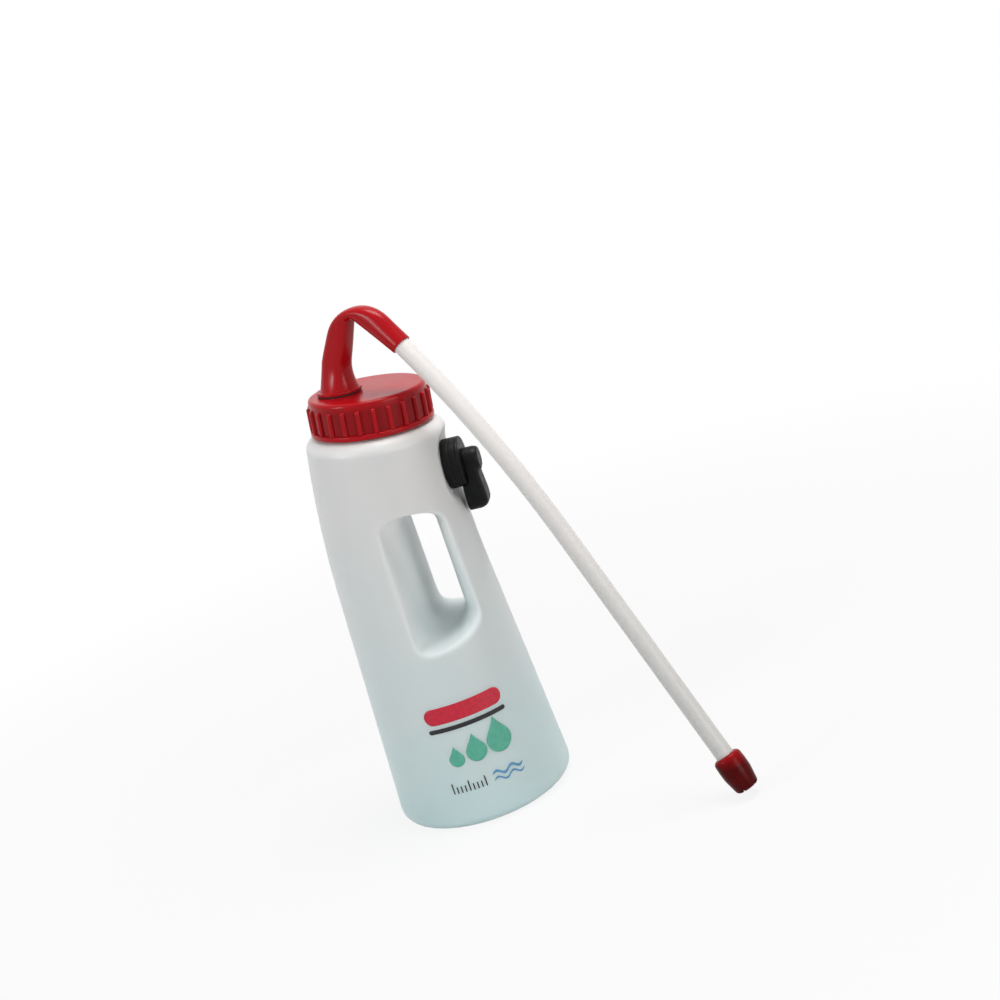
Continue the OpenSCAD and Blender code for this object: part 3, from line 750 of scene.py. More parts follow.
def grip_hole_patch(bottle, hole, angles, heights):
    """The grip hole on one side of the bottle, from the middle plane to the patch's border: a slot that
    flares with the distance y as (y / flare_at) ** flare_power, a soft edge along a parabola, and the
    side. Its columns run round the slot and round the border, from corner to corner."""
    across, up = len(angles) - 1, len(heights) - 1
    half, bend = hole.straight / 2, math.pi * hole.radius
    half_turn = hole.straight + bend
    corner = half + HOLE_CORNER * hole.radius
    stops = np.array([-corner, corner, half_turn - corner, half_turn + corner, 2 * half_turn - corner])
    run = np.concatenate([np.linspace(stops[i], stops[i + 1], count, endpoint=False)
                          for i, count in enumerate([up, across, up, across])]) % (2 * half_turn)
    knots = np.cumsum([0, half, bend, hole.straight, bend, half])
    turn = np.interp(run, knots, np.array([0, 0, 1, 1, 2, 2]) * math.pi)
    middle = np.interp(run, knots, [0, half, half, -half, -half, 0])
    border_angle = np.concatenate([np.full(up, angles[-1]), angles[:0:-1], np.full(up, angles[0]),
                                   angles[:-1]])
    border_height = np.concatenate([heights[:-1], np.full(across, heights[-1]), heights[:0:-1],
                                    np.full(across, heights[0])])

    def slot(depth):
        """The slot's outline at a distance from the middle plane."""
        flare = (depth / hole.flare_at) ** hole.flare_power
        to_handle = (1 + np.cos(turn)) / 2
        side = hole.radius + flare * (hole.flare_in + (hole.flare_out - hole.flare_in) * to_handle)
        x = hole.x + side * np.cos(turn)
        z = hole.z + middle + (hole.radius + flare * hole.flare_end) * np.sin(turn)
        return np.stack(np.broadcast_arrays(x, -depth, z), -1)

    near, far = np.zeros_like(turn), np.full_like(turn, bottle.base_r)
    for _ in range(HALVINGS):
        depth = (near + far) / 2
        points = slot(depth)
        inside = half_width(bottle, points[:, 0], points[:, 2]) > depth
        near, far = np.where(inside, depth, near), np.where(inside, far, depth)
    rim = slot(near)
    rim_height, rim_out = side_place(bottle, rim[:, 0], rim[:, 2])
    rim_angle = np.arctan2(rim[:, 1], rim_out)
    reach = np.hypot((border_angle - rim_angle) * side_radius(bottle, rim_height),
                     border_height - rim_height)
    start = hole.fillet / reach
    wall = slot(np.linspace(0, 1, WALL_ROWS)[:, None] * (near - EDGE_DEPTH * hole.fillet))
    toward = start + np.linspace(0, 1, SIDE_ROWS)[:, None] * (1 - start)
    side_angle = rim_angle + toward * (border_angle - rim_angle)
    side_height = rim_height + toward * (border_height - rim_height)
    side_angle[-1], side_height[-1] = border_angle, border_height
    side = side_point(bottle, side_angle, side_height)
    t = np.linspace(0, 1, EDGE_ROWS)[1:-1, None, None]
    edge = (1 - t) ** 2 * wall[-1] + 2 * t * (1 - t) * rim + t * t * side[0]
    rows = np.concatenate([wall, edge, side])
    return rows, grid_faces(len(rows), len(turn))


def bottle_surface(bottle, hole):
    """The bottle's skin: a hollowed base, the side with the grip hole's two patches, a round shoulder
    and the neck, pressed flat where the valve sits."""
    low, high = HOLE_HEIGHTS
    patch_heights = np.linspace(low, high, HOLE_CELLS + 1)
    below = np.linspace(bottle.base_edge, low, 36)[:-1]
    above = np.linspace(high, bottle.straight_h + bottle.curve_len, 10)[1:]
    side = side_point(bottle, ANGLES, np.concatenate([below, patch_heights, above])[:, None])
    foot_r = bottle.base_r - bottle.base_edge
    edge_w = side_radius(bottle, bottle.base_edge) - foot_r
    dish = np.linspace(0, 1, 8)
    base = np.concatenate([
        np.stack([bottle.hollow_r * dish, bottle.hollow_d * (dish < 1)], -1),
        arc((foot_r, bottle.base_edge), (edge_w, bottle.base_edge), -1, 0)[:-1],
    ])
    shoulder, fillet = bottle.shoulder_edge, bottle.neck_fillet
    neck = np.concatenate([
        arc((bottle.shoulder_r - shoulder, -shoulder), shoulder, 0, 1),
        arc((bottle.neck_r + fillet, fillet), fillet, -1, -2)[1:],
        upright(bottle.neck_r, np.linspace(fillet, bottle.neck_h, 10)[1:]),
    ])
    rows = np.concatenate([revolve(base, ANGLES), side, put(revolve(neck, ANGLES), NECK)])
    quads = grid_faces(len(rows), COLUMNS).reshape(len(rows) - 1, COLUMNS, 4)
    start, end = HOLE_COLUMNS
    first = len(base) + len(below)
    keep = np.ones(quads.shape[:2], bool)
    keep[first:first + HOLE_CELLS, start:end] = False
    keep[first:first + HOLE_CELLS, COLUMNS - end:COLUMNS - start] = False
    front, patch_quads = grip_hole_patch(bottle, hole, ANGLES[start:end + 1], patch_heights)
    back = front * np.array([1, -1, 1])
    points = np.concatenate([rows.reshape(-1, 3), front.reshape(-1, 3), back.reshape(-1, 3)])
    faces = np.concatenate([quads[keep], patch_quads[:, ::-1] + rows.size // 3,
                            patch_quads + (rows.size + front.size) // 3])
    local = seen_from(points, VALVE)
    proud = np.clip(local[:, 2], 0, None)
    from_axis = np.hypot(local[:, 0], local[:, 1])
    local[:, 2] -= proud * (1 - smooth((from_axis - bottle.flat_r) / bottle.flat_blend))
    return put(local, VALVE), faces


class DRENCHER_OT_bottle(Operator):
    """Make the milky bottle with its grip hole, and the thread on its neck"""

    bl_idname = "drencher.bottle"
    bl_label = "Bottle"

    def execute(self, context):
        scene = context.scene
        bottle, cap = scene.drencher_bottle, scene.drencher_cap
        plastic = material(milky_polyethylene, scene.drencher_colours)
        shell = add_piece("bottle_shell", bottle_surface(bottle, scene.drencher_grip_hole), OBJECT, plastic,
                          "bottle", "bottle_plastic", "bottle")
        add_wall(shell, bottle.wall)
        ridge = thread_ridge(bottle.neck_r - THREAD_SINK, bottle.neck_r + cap.thread_d, cap.pitch, cap.pitch)
        add_piece("neck_thread", ridge, NECK, plastic, "bottle", "bottle_plastic")
        return {"FINISHED"}


# The cap

# Places of columns on each side of a rib's middle, in half widths of a rib
RIB_COLUMNS = np.array([0.35, 0.6, 0.8, 0.93, 1, 1.15])
# Height of the lowest ring of the wall above the lip, and of the lowest ring of the bore above its foot
WALL_FOOT = 0.3 * MM
BORE_FOOT = 2 * MM
# Share of a rib's height above which its flank has no painted shade
UNSHADED_FLANK = 0.7


def cap_columns(cap):
    """Angles round the cap, close together on each rib, and their distances from the nearest rib."""
    half = cap.rib_w / 2 / cap.radius
    pitch = TURN / cap.ribs
    on_rib = np.concatenate([-RIB_COLUMNS[::-1], [0], RIB_COLUMNS]) * half
    gap = np.linspace(on_rib[-1], pitch + on_rib[0], 5)[1:-1]
    one = np.concatenate([on_rib, gap])
    return (one + pitch * np.arange(cap.ribs)[:, None]).reshape(-1), np.tile(one, cap.ribs)


def cap_surface(cap):
    """The cap as rings: rings that move from the spout's hole to the rim, a round edge, the wall with
    ribs of half-round section and round ends, the lip, the bore and the underside back to the hole."""
    turn, from_rib = cap_columns(cap)
    top = SPOUT_ON_CAP[2]
    under = top - cap.plate
    around = np.stack([np.cos(turn), np.sin(turn)], -1)
    spread = np.linspace(0, 1, 14)[:, None, None]

    def plate(rim_r, height):
        """Rings at one height, from the spout's hole to a rim."""
        flat = ((1 - spread) * (SPOUT_ON_CAP[:2] + cap.spout_hole_r * around)
                + spread * rim_r * around)
        return np.concatenate([flat, np.full((*flat.shape[:2], 1), height)], -1)

    lip_top = cap.gap + cap.lip_h
    lip_in = cap.lip_r - cap.lip_edge
    rib_top, round_end = top - cap.rib_top, cap.rib_w / 2
    end_rows = rib_top - round_end * (1 - np.cos(np.linspace(0, QUARTER, 7)))
    profile = np.concatenate([
        arc((cap.radius - cap.edge, top - cap.edge), cap.edge, 1, 0)[1:],
        upright(cap.radius, end_rows),
        upright(cap.radius, np.linspace(end_rows[-1], lip_top + cap.lip_edge, 9)[1:]),
        np.array([[cap.radius, lip_top + WALL_FOOT], [lip_in, lip_top]]),
        arc((lip_in, lip_top - cap.lip_edge), cap.lip_edge, 1, 0)[1:],
        arc((lip_in, cap.gap + cap.lip_edge), cap.lip_edge, 0, -1),
        np.array([[cap.bore_r + cap.bore_edge, cap.gap], [cap.bore_r, cap.gap + cap.bore_edge]]),
        upright(cap.bore_r, np.linspace(cap.gap + BORE_FOOT, under, 4)),
    ])
    radius, height = profile[:, :1], profile[:, 1:]
    swell = np.sqrt(np.clip(1 - (from_rib * cap.radius / (cap.rib_w / 2)) ** 2, 0, None))
    into_end = np.clip((height - rib_top + round_end) / round_end, 0, 1)
    window = np.where((height > lip_top) & (radius > cap.radius - WELD), np.sqrt(1 - into_end ** 2), 0)
    radius = radius + cap.rib_d * window * swell
    wall = np.stack(np.broadcast_arrays(radius * around[:, 0], radius * around[:, 1], height), -1)
    rows = np.concatenate([plate(cap.radius - cap.edge, top), wall, plate(cap.bore_r, under)[-2::-1]])
    return ring_surface(rows[::-1])


def add_grime(piece, cap):
    """Paints shade into the colour of the wall between the ribs: an attribute that darkens it, fading out towards
    the top edge and up a rib's flank."""
    mesh = piece.data
    points = np.empty(3 * len(mesh.vertices))
    mesh.vertices.foreach_get("co", points)
    x, y, z = seen_from(points.reshape(-1, 3), NECK).T
    radius = np.hypot(x, y)
    down = SPOUT_ON_CAP[2] - cap.edge - z
    on_wall = (radius > cap.radius - WELD) & (z > cap.gap + cap.lip_h)
    on_flank = smooth((radius - cap.radius) / (UNSHADED_FLANK * cap.rib_d))
    painted_rib_shade = cap.painted_rib_shade * on_wall * smooth(down / cap.grime_h) * (1 - on_flank)
    mesh.attributes.new("painted_rib_shade", "FLOAT", "POINT").data.foreach_set("value", painted_rib_shade)


class DRENCHER_OT_cap(Operator):
    """Make the ribbed screw cap and the thread inside it"""

    bl_idname = "drencher.cap"
    bl_label = "Cap"

    def execute(self, context):
        cap = context.scene.drencher_cap
        plastic = material(red_gloss, context.scene.drencher_colours)
        piece = add_piece("ribbed_cap", cap_surface(cap), NECK, plastic, "cap", "red_plastic", "cap")
        # Painted shade on the cap's wall between the ribs
        add_grime(piece, cap)
        ridge = thread_ridge(cap.bore_r + THREAD_SINK, cap.bore_r - cap.thread_d, cap.pitch / 2, cap.pitch)
        add_piece("cap_thread", ridge, NECK, plastic, "cap", "red_plastic")
        return {"FINISHED"}


# The spout and the probe, in the spout's upright plane

# Points along a straight stretch and along a bend of the spout's outlines
STRAIGHT_STEPS = 18
BEND_STEPS = 24
# Places along the elbow at which its width and the power of its section are set, with the column from 0
# to 1, the bend to 2 and the arm to 3. A power of 2 is an ellipse, and more is squarer.
WIDTH_AT = (0, 0.6, 1.2, 1.6, 2.2, 3)
POWER_AT = (0, 0.3, 0.9, 1.5, 2.2, 3)
POWERS = (3, 3.2, 3, 2.4, 2.1, 2)
# Drop of a path that goes straight up
STRAIGHT_UP = -QUARTER


def spans(outer, inner, half_over, power=2, columns=72):
    """Sections that span two outlines in the spout's plane: superellipses |p| ** power + |q| ** power =
    1, with p from the inner to the outer outline and q across the plane to a half width."""
    turn = turns(columns)
    power = np.broadcast_to(power, len(outer))[:, None]
    p = np.sign(np.cos(turn)) * np.abs(np.cos(turn)) ** (2 / power)
    q = np.sign(np.sin(turn)) * np.abs(np.sin(turn)) ** (2 / power)
    q = q * np.broadcast_to(half_over, len(outer))[:, None]
    plane = (outer + inner)[:, None] / 2 + p[..., None] * (outer - inner)[:, None] / 2
    return np.stack([plane[..., 0], -q, plane[..., 1]], -1)


def rounds(centre, drop, radius):
    """Round sections along a path in the spout's plane, which points down by the angle drop."""
    radius, drop = np.broadcast_to(radius, len(centre)), np.broadcast_to(drop, len(centre))
    out = radius[:, None] * np.stack([np.sin(drop), np.cos(drop)], -1)
    return spans(centre + out, centre - out, radius)


def bent(start, corner, end, radius):
    """A straight line, a round corner and a straight line, as points."""
    turn = rounded([(*start, 0), (*corner, radius), (*end, 0)], steps=BEND_STEPS)
    t = np.linspace(0, 1, STRAIGHT_STEPS)[:, None]
    return np.concatenate([turn[0] + t * (turn[1] - turn[0]), turn[2:-2],
                           turn[-2] + t * (turn[-1] - turn[-2])])


def flared_foot(spout, foot):
    """The column's foot as sections: its front and sides flare as a parabola, its back evenly."""
    t = np.linspace(0, 1, STRAIGHT_STEPS)[:-1]
    fade = (1 - t) ** 2
    height = foot + t * (spout.flare_top - foot)
    lean = (spout.front_corner[0] - spout.front_foot) / (spout.front_corner[1] - spout.flare_top)
    front = spout.front_foot + lean * (height - spout.flare_top)
    outer = np.stack([spout.back_foot - (1 - t) * (spout.flare_back + spout.back_foot), height], -1)
    inner = np.stack([front + fade * (spout.flare_front - front[0]), height], -1)
    return spans(outer, inner, spout.column_w + fade * (spout.flare_side - spout.column_w), 2 + t)


def spout_surface(spout, probe):
    """The elbow as sections: spigot, flange, a flared foot, then a column, a bend and an arm between two
    outlines, with the socket and the channel back through the middle."""
    foot, soft = spout.flange_foot + spout.flange_t, spout.edge
    disc = rounded([(spout.spigot_r, -spout.spigot_len, soft), (spout.spigot_r, spout.flange_foot, 0),
                    (spout.flange_r, spout.flange_foot, soft), (spout.flange_r, foot, soft),
                    (spout.bore_r, foot, 0), (spout.bore_r, -spout.spigot_len, 0)])[:-2]
    base = rounds(upright(0, disc[:, 1]), STRAIGHT_UP, disc[:, 0])
    arm_end = np.array(spout.arm_end)
    lip = arm_end - soft * ARM_FORWARD
    outer = bent((spout.back_foot, spout.flare_top), spout.back_corner, lip + spout.arm_r * ARM_OUT,
                 spout.back_bend_r)
    inner = bent((spout.front_foot, spout.flare_top), spout.front_corner, lip - spout.arm_r * ARM_OUT,
                 spout.front_bend_r)
    along = np.concatenate([np.linspace(0, 1, STRAIGHT_STEPS), np.linspace(1, 2, BEND_STEPS)[1:-1],
                            np.linspace(2, 3, STRAIGHT_STEPS)])
    half_over = through(along, WIDTH_AT, [spout.column_w, spout.column_top_w, spout.bend_start_w,
                                          spout.bend_w, spout.bend_w, spout.arm_r])
    body = spans(outer, inner, half_over, through(along, POWER_AT, POWERS))
    bow = np.linspace(0, QUARTER, 5)[1:]
    end = rounds(lip + soft * np.sin(bow)[:, None] * ARM_FORWARD, ARM_DROP,
                 spout.arm_r - soft * (1 - np.cos(bow)))
    socket = rounds(np.stack([arm_end, arm_end - probe.socket_len * ARM_FORWARD]), ARM_DROP, spout.socket_r)
    middle, half = (outer + inner) / 2, np.linalg.norm(outer - inner, axis=-1) / 2
    deep = np.linalg.norm(middle - arm_end, axis=-1) > probe.socket_len + soft
    bore = np.minimum(spout.bore_r, half - spout.wall)
    reach = (outer - inner) / 2 * (bore / half)[:, None]
    channel = spans(middle + reach, middle - reach, bore)[deep][::-1]
    drain = rounds(upright(0, [foot, -spout.spigot_len]), STRAIGHT_UP, spout.bore_r)
    return ring_surface(np.concatenate([base, flared_foot(spout, foot), body, end, socket, channel, drain]))


def tube_length(probe):
    """Length of the tube along its middle: in the socket, along the curve and straight."""
    return probe.socket_len + probe.curve_r * probe.curve + probe.straight


def tube_path(spout, probe, run):
    """Centre and drop of the tube's path from its end in the socket: straight, a gentle arc, straight."""
    past = run - probe.socket_len
    drop = ARM_DROP + np.clip(past / probe.curve_r, 0, probe.curve)
    centre = np.array(spout.arm_end) - probe.curve_r * ARM_OUT
    on_arc = centre + probe.curve_r * np.stack([np.sin(drop), np.cos(drop)], -1)
    before = np.minimum(past, 0)[:, None] * ARM_FORWARD
    after = np.clip(past - probe.curve_r * probe.curve, 0, None)[:, None]
    return on_arc + before + after * np.stack([np.cos(drop), -np.sin(drop)], -1), drop


def tube_surface(spout, probe):
    """The tube as round sections, out along its skin and back through its bore."""
    total, soft = tube_length(probe), probe.tube_edge
    run = np.concatenate([[0, soft], np.linspace(probe.socket_len / 2, total - 2 * soft, 90),
                          [total - soft, total]])
    radius = np.full(len(run), probe.tube_r)
    radius[[0, -1]] -= soft
    centre, drop = tube_path(spout, probe, run)
    bore = rounds(centre, drop, probe.tube_bore_r)
    return ring_surface(np.concatenate([rounds(centre, drop, radius), bore[::-1]]))


def tip_surface(spout, probe, columns=120):
    """The soft tip: a round-lipped barrel turned about the tube, with notches cut into its open end."""
    widest, end, bore_r = probe.tip_r, probe.tip_len, probe.tube_bore_r
    seat_r = probe.tube_r + probe.tip_gap
    barrel = rounded([
        (seat_r, 0, 0), (widest - probe.tip_lip_in, 0, probe.tip_lip),
        (widest, probe.belly_start, probe.belly_start_r),
        (widest - probe.belly_in, probe.belly_end, probe.belly_end_r),
        (probe.tip_end_r, end, probe.tip_nose), (bore_r, end, probe.tip_bore_edge),
        (bore_r, probe.tip_hold, 0), (seat_r, probe.tip_hold, 0),
    ], steps=9)
    turn = turns(columns)
    pitch = TURN / probe.notches
    off = np.abs((turn + pitch / 2) % pitch - pitch / 2) * probe.tip_end_r
    slope = (off - probe.notch_w / 2) / probe.notch_slope + 0.5
    cut = probe.notch_d * (1 - smooth(slope))
    along = np.minimum(barrel[:, 1:], end - cut)
    centre, drop = tube_path(spout, probe, tube_length(probe) - probe.tip_hold + along.reshape(-1))
    centre, drop = centre.reshape(*along.shape, 2), drop.reshape(along.shape)
    p, q = barrel[:, :1] * np.cos(turn), barrel[:, :1] * np.sin(turn)
    return ring_surface(np.stack([centre[..., 0] + p * np.sin(drop), -q,
                                  centre[..., 1] + p * np.cos(drop)], -1))


class DRENCHER_OT_spout(Operator):
    """Make the elbow that carries the probe"""

    bl_idname = "drencher.spout"
    bl_label = "Spout"

    def execute(self, context):
        scene = context.scene
        plastic = material(red_gloss, scene.drencher_colours)
        elbow = spout_surface(scene.drencher_spout, scene.drencher_probe)
        add_piece("elbow_spout", elbow, SPOUT, plastic, "spout", "red_plastic", "spout_elbow")
        return {"FINISHED"}


class DRENCHER_OT_probe(Operator):
    """Make the probe's tube and its soft tip"""

    bl_idname = "drencher.probe"
    bl_label = "Probe"

    def execute(self, context):
        scene = context.scene
        spout, probe, colours = scene.drencher_spout, scene.drencher_probe, scene.drencher_colours
        add_piece("dosing_tube", tube_surface(spout, probe), SPOUT, material(tube_satin, colours), "probe",
                  "tube_plastic", "probe_tube")
        add_piece("soft_tip", tip_surface(spout, probe), SPOUT, material(tip_gloss, colours), "probe",
                  "tip_rubber", "probe_tip")
        return {"FINISHED"}


# The valve

# Distances from the collar's side at which the step to the lever's pad starts and ends
PAD_START = 0.2 * MM
PAD_END = 0.5 * MM
# Places of the grooves round the collar, in thirds of its height
GROOVES_AT = (1.35, 2.4)
# Radii of a groove's two edges and its foot, and of the edge round the stem
GROOVE_LIP = 0.15 * MM
GROOVE_FOOT = 0.1 * MM
STEM_EDGE = 0.3 * MM
# The lever's hub runs out into the arm over a width that starts inside the hub's radius
HUB_IN = 1.2 * MM
HUB_RUN = 2 * MM
# Length beyond the hub over which the arm swells
SWELL_RUN = 18 * MM


def collar_surface(valve):
    """The collar as a turned profile: a cap over the screw neck with two fine grooves round it."""
    collar_r, foot, bore_r = valve.collar_r, valve.collar_foot, valve.collar_bore_r
    stem_hole_r = valve.stem_r + valve.stem_gap
    corners = [(bore_r, foot, 0), (collar_r, foot, valve.collar_foot_edge)]
    for thirds in GROOVES_AT:
        height = foot + thirds * (valve.plate_out - foot) / 3
        corners += [(collar_r, height - valve.groove_w, GROOVE_LIP),
                    (collar_r - valve.groove_d, height, GROOVE_FOOT),
                    (collar_r, height + valve.groove_w, GROOVE_LIP)]
    corners += [(collar_r, valve.plate_out, valve.collar_edge), (stem_hole_r, valve.plate_out, STEM_EDGE),
                (stem_hole_r, valve.plate_in, 0), (bore_r, valve.plate_in, 0)]
    return ring_surface(revolve(rounded(corners), turns(128)))


def lever_outline(valve, inset):
    """The lever seen along its axis, drawn in by an inset: two half circles joined by straight sides,
    which have points at both ends of the pad's step."""
    tail_x = valve.lever_len - valve.lever_w / 2
    half = np.linspace(-QUARTER, QUARTER, 24)
    tail, hub = max(valve.lever_w / 2 - inset, 0), max(valve.hub_r - inset, 0)
    step_end, step_start = np.sqrt((valve.collar_r + np.array([PAD_END, PAD_START])) ** 2 - hub ** 2)
    up_x = np.concatenate([np.linspace(tail_x, step_end, 8)[1:], np.linspace(step_start, 0, 12)[:-1]])
    up_y = hub + (tail - hub) * up_x / tail_x
    x = np.concatenate([tail_x + tail * np.cos(half), up_x, -hub * np.cos(half), up_x[::-1]])
    y = np.concatenate([tail * np.sin(half), up_y, -hub * np.sin(half), -up_y[::-1]])
    return x, y


def lever_inner_ring(valve, inset):
    """A ring of the lever's inner face at an inset: flat at the hub, deeper at the pad, with a soft edge."""
    x, y = lever_outline(valve, inset)
    pad = smooth((np.hypot(x, y) - valve.collar_r - PAD_START) / (PAD_END - PAD_START)) * (x > 0)
    return np.stack([x, y, valve.hub_foot - valve.pad_d * pad + sagitta(valve.pad_edge, inset)], -1)


def lever_outer_ring(valve, inset):
    """A ring of the lever's outer face at an inset: a hub and a lower arm that swells towards its round
    nose, with a soft edge."""
    x, y = lever_outline(valve, inset)
    on_hub = 1 - smooth((np.hypot(x, y) - valve.hub_r + HUB_IN) / HUB_RUN)
    swell = valve.lever_swell * smooth((x - valve.hub_r) / SWELL_RUN)
    level = valve.hub_end - (1 - on_hub) * (valve.hub_rise - swell)
    nose = sagitta(valve.nose_r, valve.lever_len - x)
    return np.stack([x, y, level - nose - sagitta(valve.lever_edge, inset)], -1)


def lever_surface(valve):
    """The lever as rings from the middle of its inner face, up its sides and over its outer face."""
    widest = max(valve.lever_w / 2, valve.hub_r)
    bow = np.linspace(0, QUARTER, 9)
    inner = np.concatenate([np.linspace(widest, valve.pad_edge, 14), valve.pad_edge * (1 - np.sin(bow))[1:]])
    outer = np.concatenate([valve.lever_edge * (1 - np.cos(bow)),
                            np.linspace(valve.lever_edge, widest, 20)[1:]])
    rows = np.array([lever_inner_ring(valve, inset) for inset in inner]
                    + [lever_outer_ring(valve, inset) for inset in outer])
    return rows, grid_faces(*rows.shape[:2])


class DRENCHER_OT_valve(Operator):
    """Make the valve's collar and its lever"""

    bl_idname = "drencher.valve"
    bl_label = "Valve"

    def execute(self, context):
        valve = context.scene.drencher_valve
        plastic = material(black_satin, context.scene.drencher_colours)
        add_piece("grooved_collar", collar_surface(valve), VALVE, plastic, "bottle", "black_plastic",
                  "valve_collar")
        add_piece("lever_paddle", lever_surface(valve), VALVE, plastic, "lever", "black_plastic",
                  "valve_lever")
        return {"FINISHED"}


# The printed design

# Places across and up from the design's middle, in millimetres
RED_BAR_AT = (2, 26)
BLACK_BAR_AT = (2, 15.5)
# Half width of each drop and its place across, and the foot on which all of them stand
DROPS = ((5.5, -14), (7.5, 1), (9.5, 19))
DROP_FOOT = -13
# How far the top of a drop is drawn in and up, in half widths
DROP_PINCH = 0.85
DROP_PULL = 0.75
# A scale of ticks: the first one's place across, the foot, the pitch, and the heights of tall and short
TICKS = 9
TICK_START = -24
TICK_FOOT = -32
TICK_PITCH = 3
TALL_TICK = 8
SHORT_TICK = 5
# Each wave's place up and its thickness, and their place across
WAVES = ((-26, 2.0), (-30.5, 1.4))
WAVES_AT = 18


def add_ink(context, name, shape, at, finish):
    """A closed film of ink on the bottle's side, at a place of the design in millimetres. The shape's two
    arrays hold places across and up, as rings from its middle to its edge."""
    bottle, design = context.scene.drencher_bottle, context.scene.drencher_print
    across, up = shape[0] + at[0] * MM, shape[1] + at[1] * MM
    height = design.height + up
    theta = design.around + across / side_radius(bottle, height)
    rise = np.full_like(theta, (bottle.base_r - bottle.waist_r) / bottle.straight_h)
    out = unit(np.stack([np.cos(theta), np.sin(theta), rise], -1))
    skin = side_point(bottle, theta, height) + design.lift * out
    film = (skin, grid_faces(*across.shape)[:, ::-1])
    piece = add_piece(name, film, OBJECT, finish, "bottle", "bottle_plastic")
    add_wall(piece, design.ink_t)


def filled(outline, rings=10):
    """Rings that grow from the origin to an outline, as places across and up."""
    grow = np.linspace(0, 1, rings)[:, None]
    return grow * outline[:, 0], grow * outline[:, 1]


def pill(width, height, columns=96):
    """The outline of a bar with round ends: two half circles, whose ends are joined by straight sides."""
    right = arc((width / 2 - height / 2, 0), height / 2, -1, 1, columns // 4)
    side = right[-1] * np.stack([np.linspace(1, -1, columns // 4), np.ones(columns // 4)], -1)[1:-1]
    return np.concatenate([right, side, -right, -side])


def drop_shape(size, columns=72):
    """The outline of a falling drop: a circle drawn out to a point at its top."""
    turn = turns(columns)
    pull = np.clip(np.sin(turn), 0, 1) ** 3
    across = np.cos(turn) * (1 - DROP_PINCH * pull)
    return size * np.stack([across, np.sin(turn) + DROP_PULL * pull], -1)


def wave(width, height, thick, columns=60, rings=4):
    """Two sine waves drawn as one line with round ends: rings from the line to its edge."""
    run = np.linspace(-0.5, 0.5, columns)
    line = height * np.sin(2 * TURN * run)
    half = thick / 2 * np.sqrt(1 - (2 * run) ** 8)
    middle = np.concatenate([line, line[::-1]])
    edge = np.concatenate([line - half, (line + half)[::-1]])
    up = middle + np.linspace(0, 1, rings)[:, None] * (edge - middle)
    return np.broadcast_to(width * np.concatenate([run, run[::-1]]), up.shape), up


class DRENCHER_OT_print(Operator):
    """Print a plain design of bars, drops, ticks and waves on the bottle"""

    bl_idname = "drencher.print"
    bl_label = "Printed design"

    def execute(self, context):
        colours, design = context.scene.drencher_colours, context.scene.drencher_print
        red = ink("red_ink", colours.ink_red)
        black = ink("black_ink", colours.ink_black)
        green = ink("green_ink", colours.ink_green)
        blue = ink("blue_ink", colours.ink_blue)
        red_bar, black_bar = pill(design.bar_w, design.red_bar_h), pill(design.bar_w, design.black_bar_h)
        add_ink(context, "print_red_bar", filled(red_bar), RED_BAR_AT, red)
        add_ink(context, "print_black_bar", filled(black_bar), BLACK_BAR_AT, black)
        for i, (size, at) in enumerate(DROPS):
            drop = filled(drop_shape(size * MM))
            add_ink(context, f"print_drop_{i + 1}", drop, (at, DROP_FOOT + size), green)
        for i in range(TICKS):
            tall = TALL_TICK if i % 4 == 0 else SHORT_TICK
            tick = filled(pill(tall * MM, design.tick_w)[:, ::-1] * np.array([1, -1]))
            at = (TICK_START + TICK_PITCH * i, TICK_FOOT + tall / 2)
            add_ink(context, f"print_tick_{i + 1}", tick, at, black)
        for i, (up, thick) in enumerate(WAVES):
            line = wave(design.wave_w, design.wave_h, thick * MM)
            add_ink(context, f"print_wave_{i + 1}", line, (WAVES_AT, up), blue)
        return {"FINISHED"}


# Pieces of the frame that stay as they are

class DRENCHER_OT_inner_pieces(Operator):
    """Give the seals, nut, disc, spring and clip inside the cap and the valve their finishes"""

    bl_idname = "drencher.inner_pieces"
    bl_label = "Inner pieces"

    def execute(self, context):
        finishes = {"seal_rubber": matt_rubber, "red_plastic": red_gloss, "disc_plastic": white_acetal,
                    "spring_steel": drawn_steel}
        slots = {part["node"]: part["material_slot"] for part in frame["record"]["subparts"]}
        for node in ("cap_gasket", "spout_seal", "spout_nut", "tube_o_ring", "valve_gasket", "stem_o_ring",
                     "metering_disc", "disc_spring", "stem_clip"):
            materials = frame["nodes"][node].data.materials
            materials.clear()
            materials.append(material(finishes[slots[node]], context.scene.drencher_colours))
        return {"FINISHED"}


# The stage

WHITE = (1, 1, 1, 1)
# The place that the lamps point at, and each lamp's place, width, power in watts and tint
LAMP_AIM = (0.02, 0, 0.19)
LAMPS = {
    "key": ((-0.95, -0.90, 0.75), 0.35, 8.0, (0.97, 1.0, 1.0)),
    "fill": ((1.15, -0.85, 0.30), 0.60, 6.0, (1.0, 0.985, 0.96)),
    "top": ((0.36, 0.06, 1.44), 0.60, 14.5, (1.0, 0.985, 0.97)),
}


def placed(at, right, back):
    """The matrix of a camera or lamp at a place, with the directions to its right and behind it."""
    turn = np.stack([right, np.cross(back, right), back], -1)
    return Matrix.LocRotScale(at, Matrix(turn.tolist()), None)


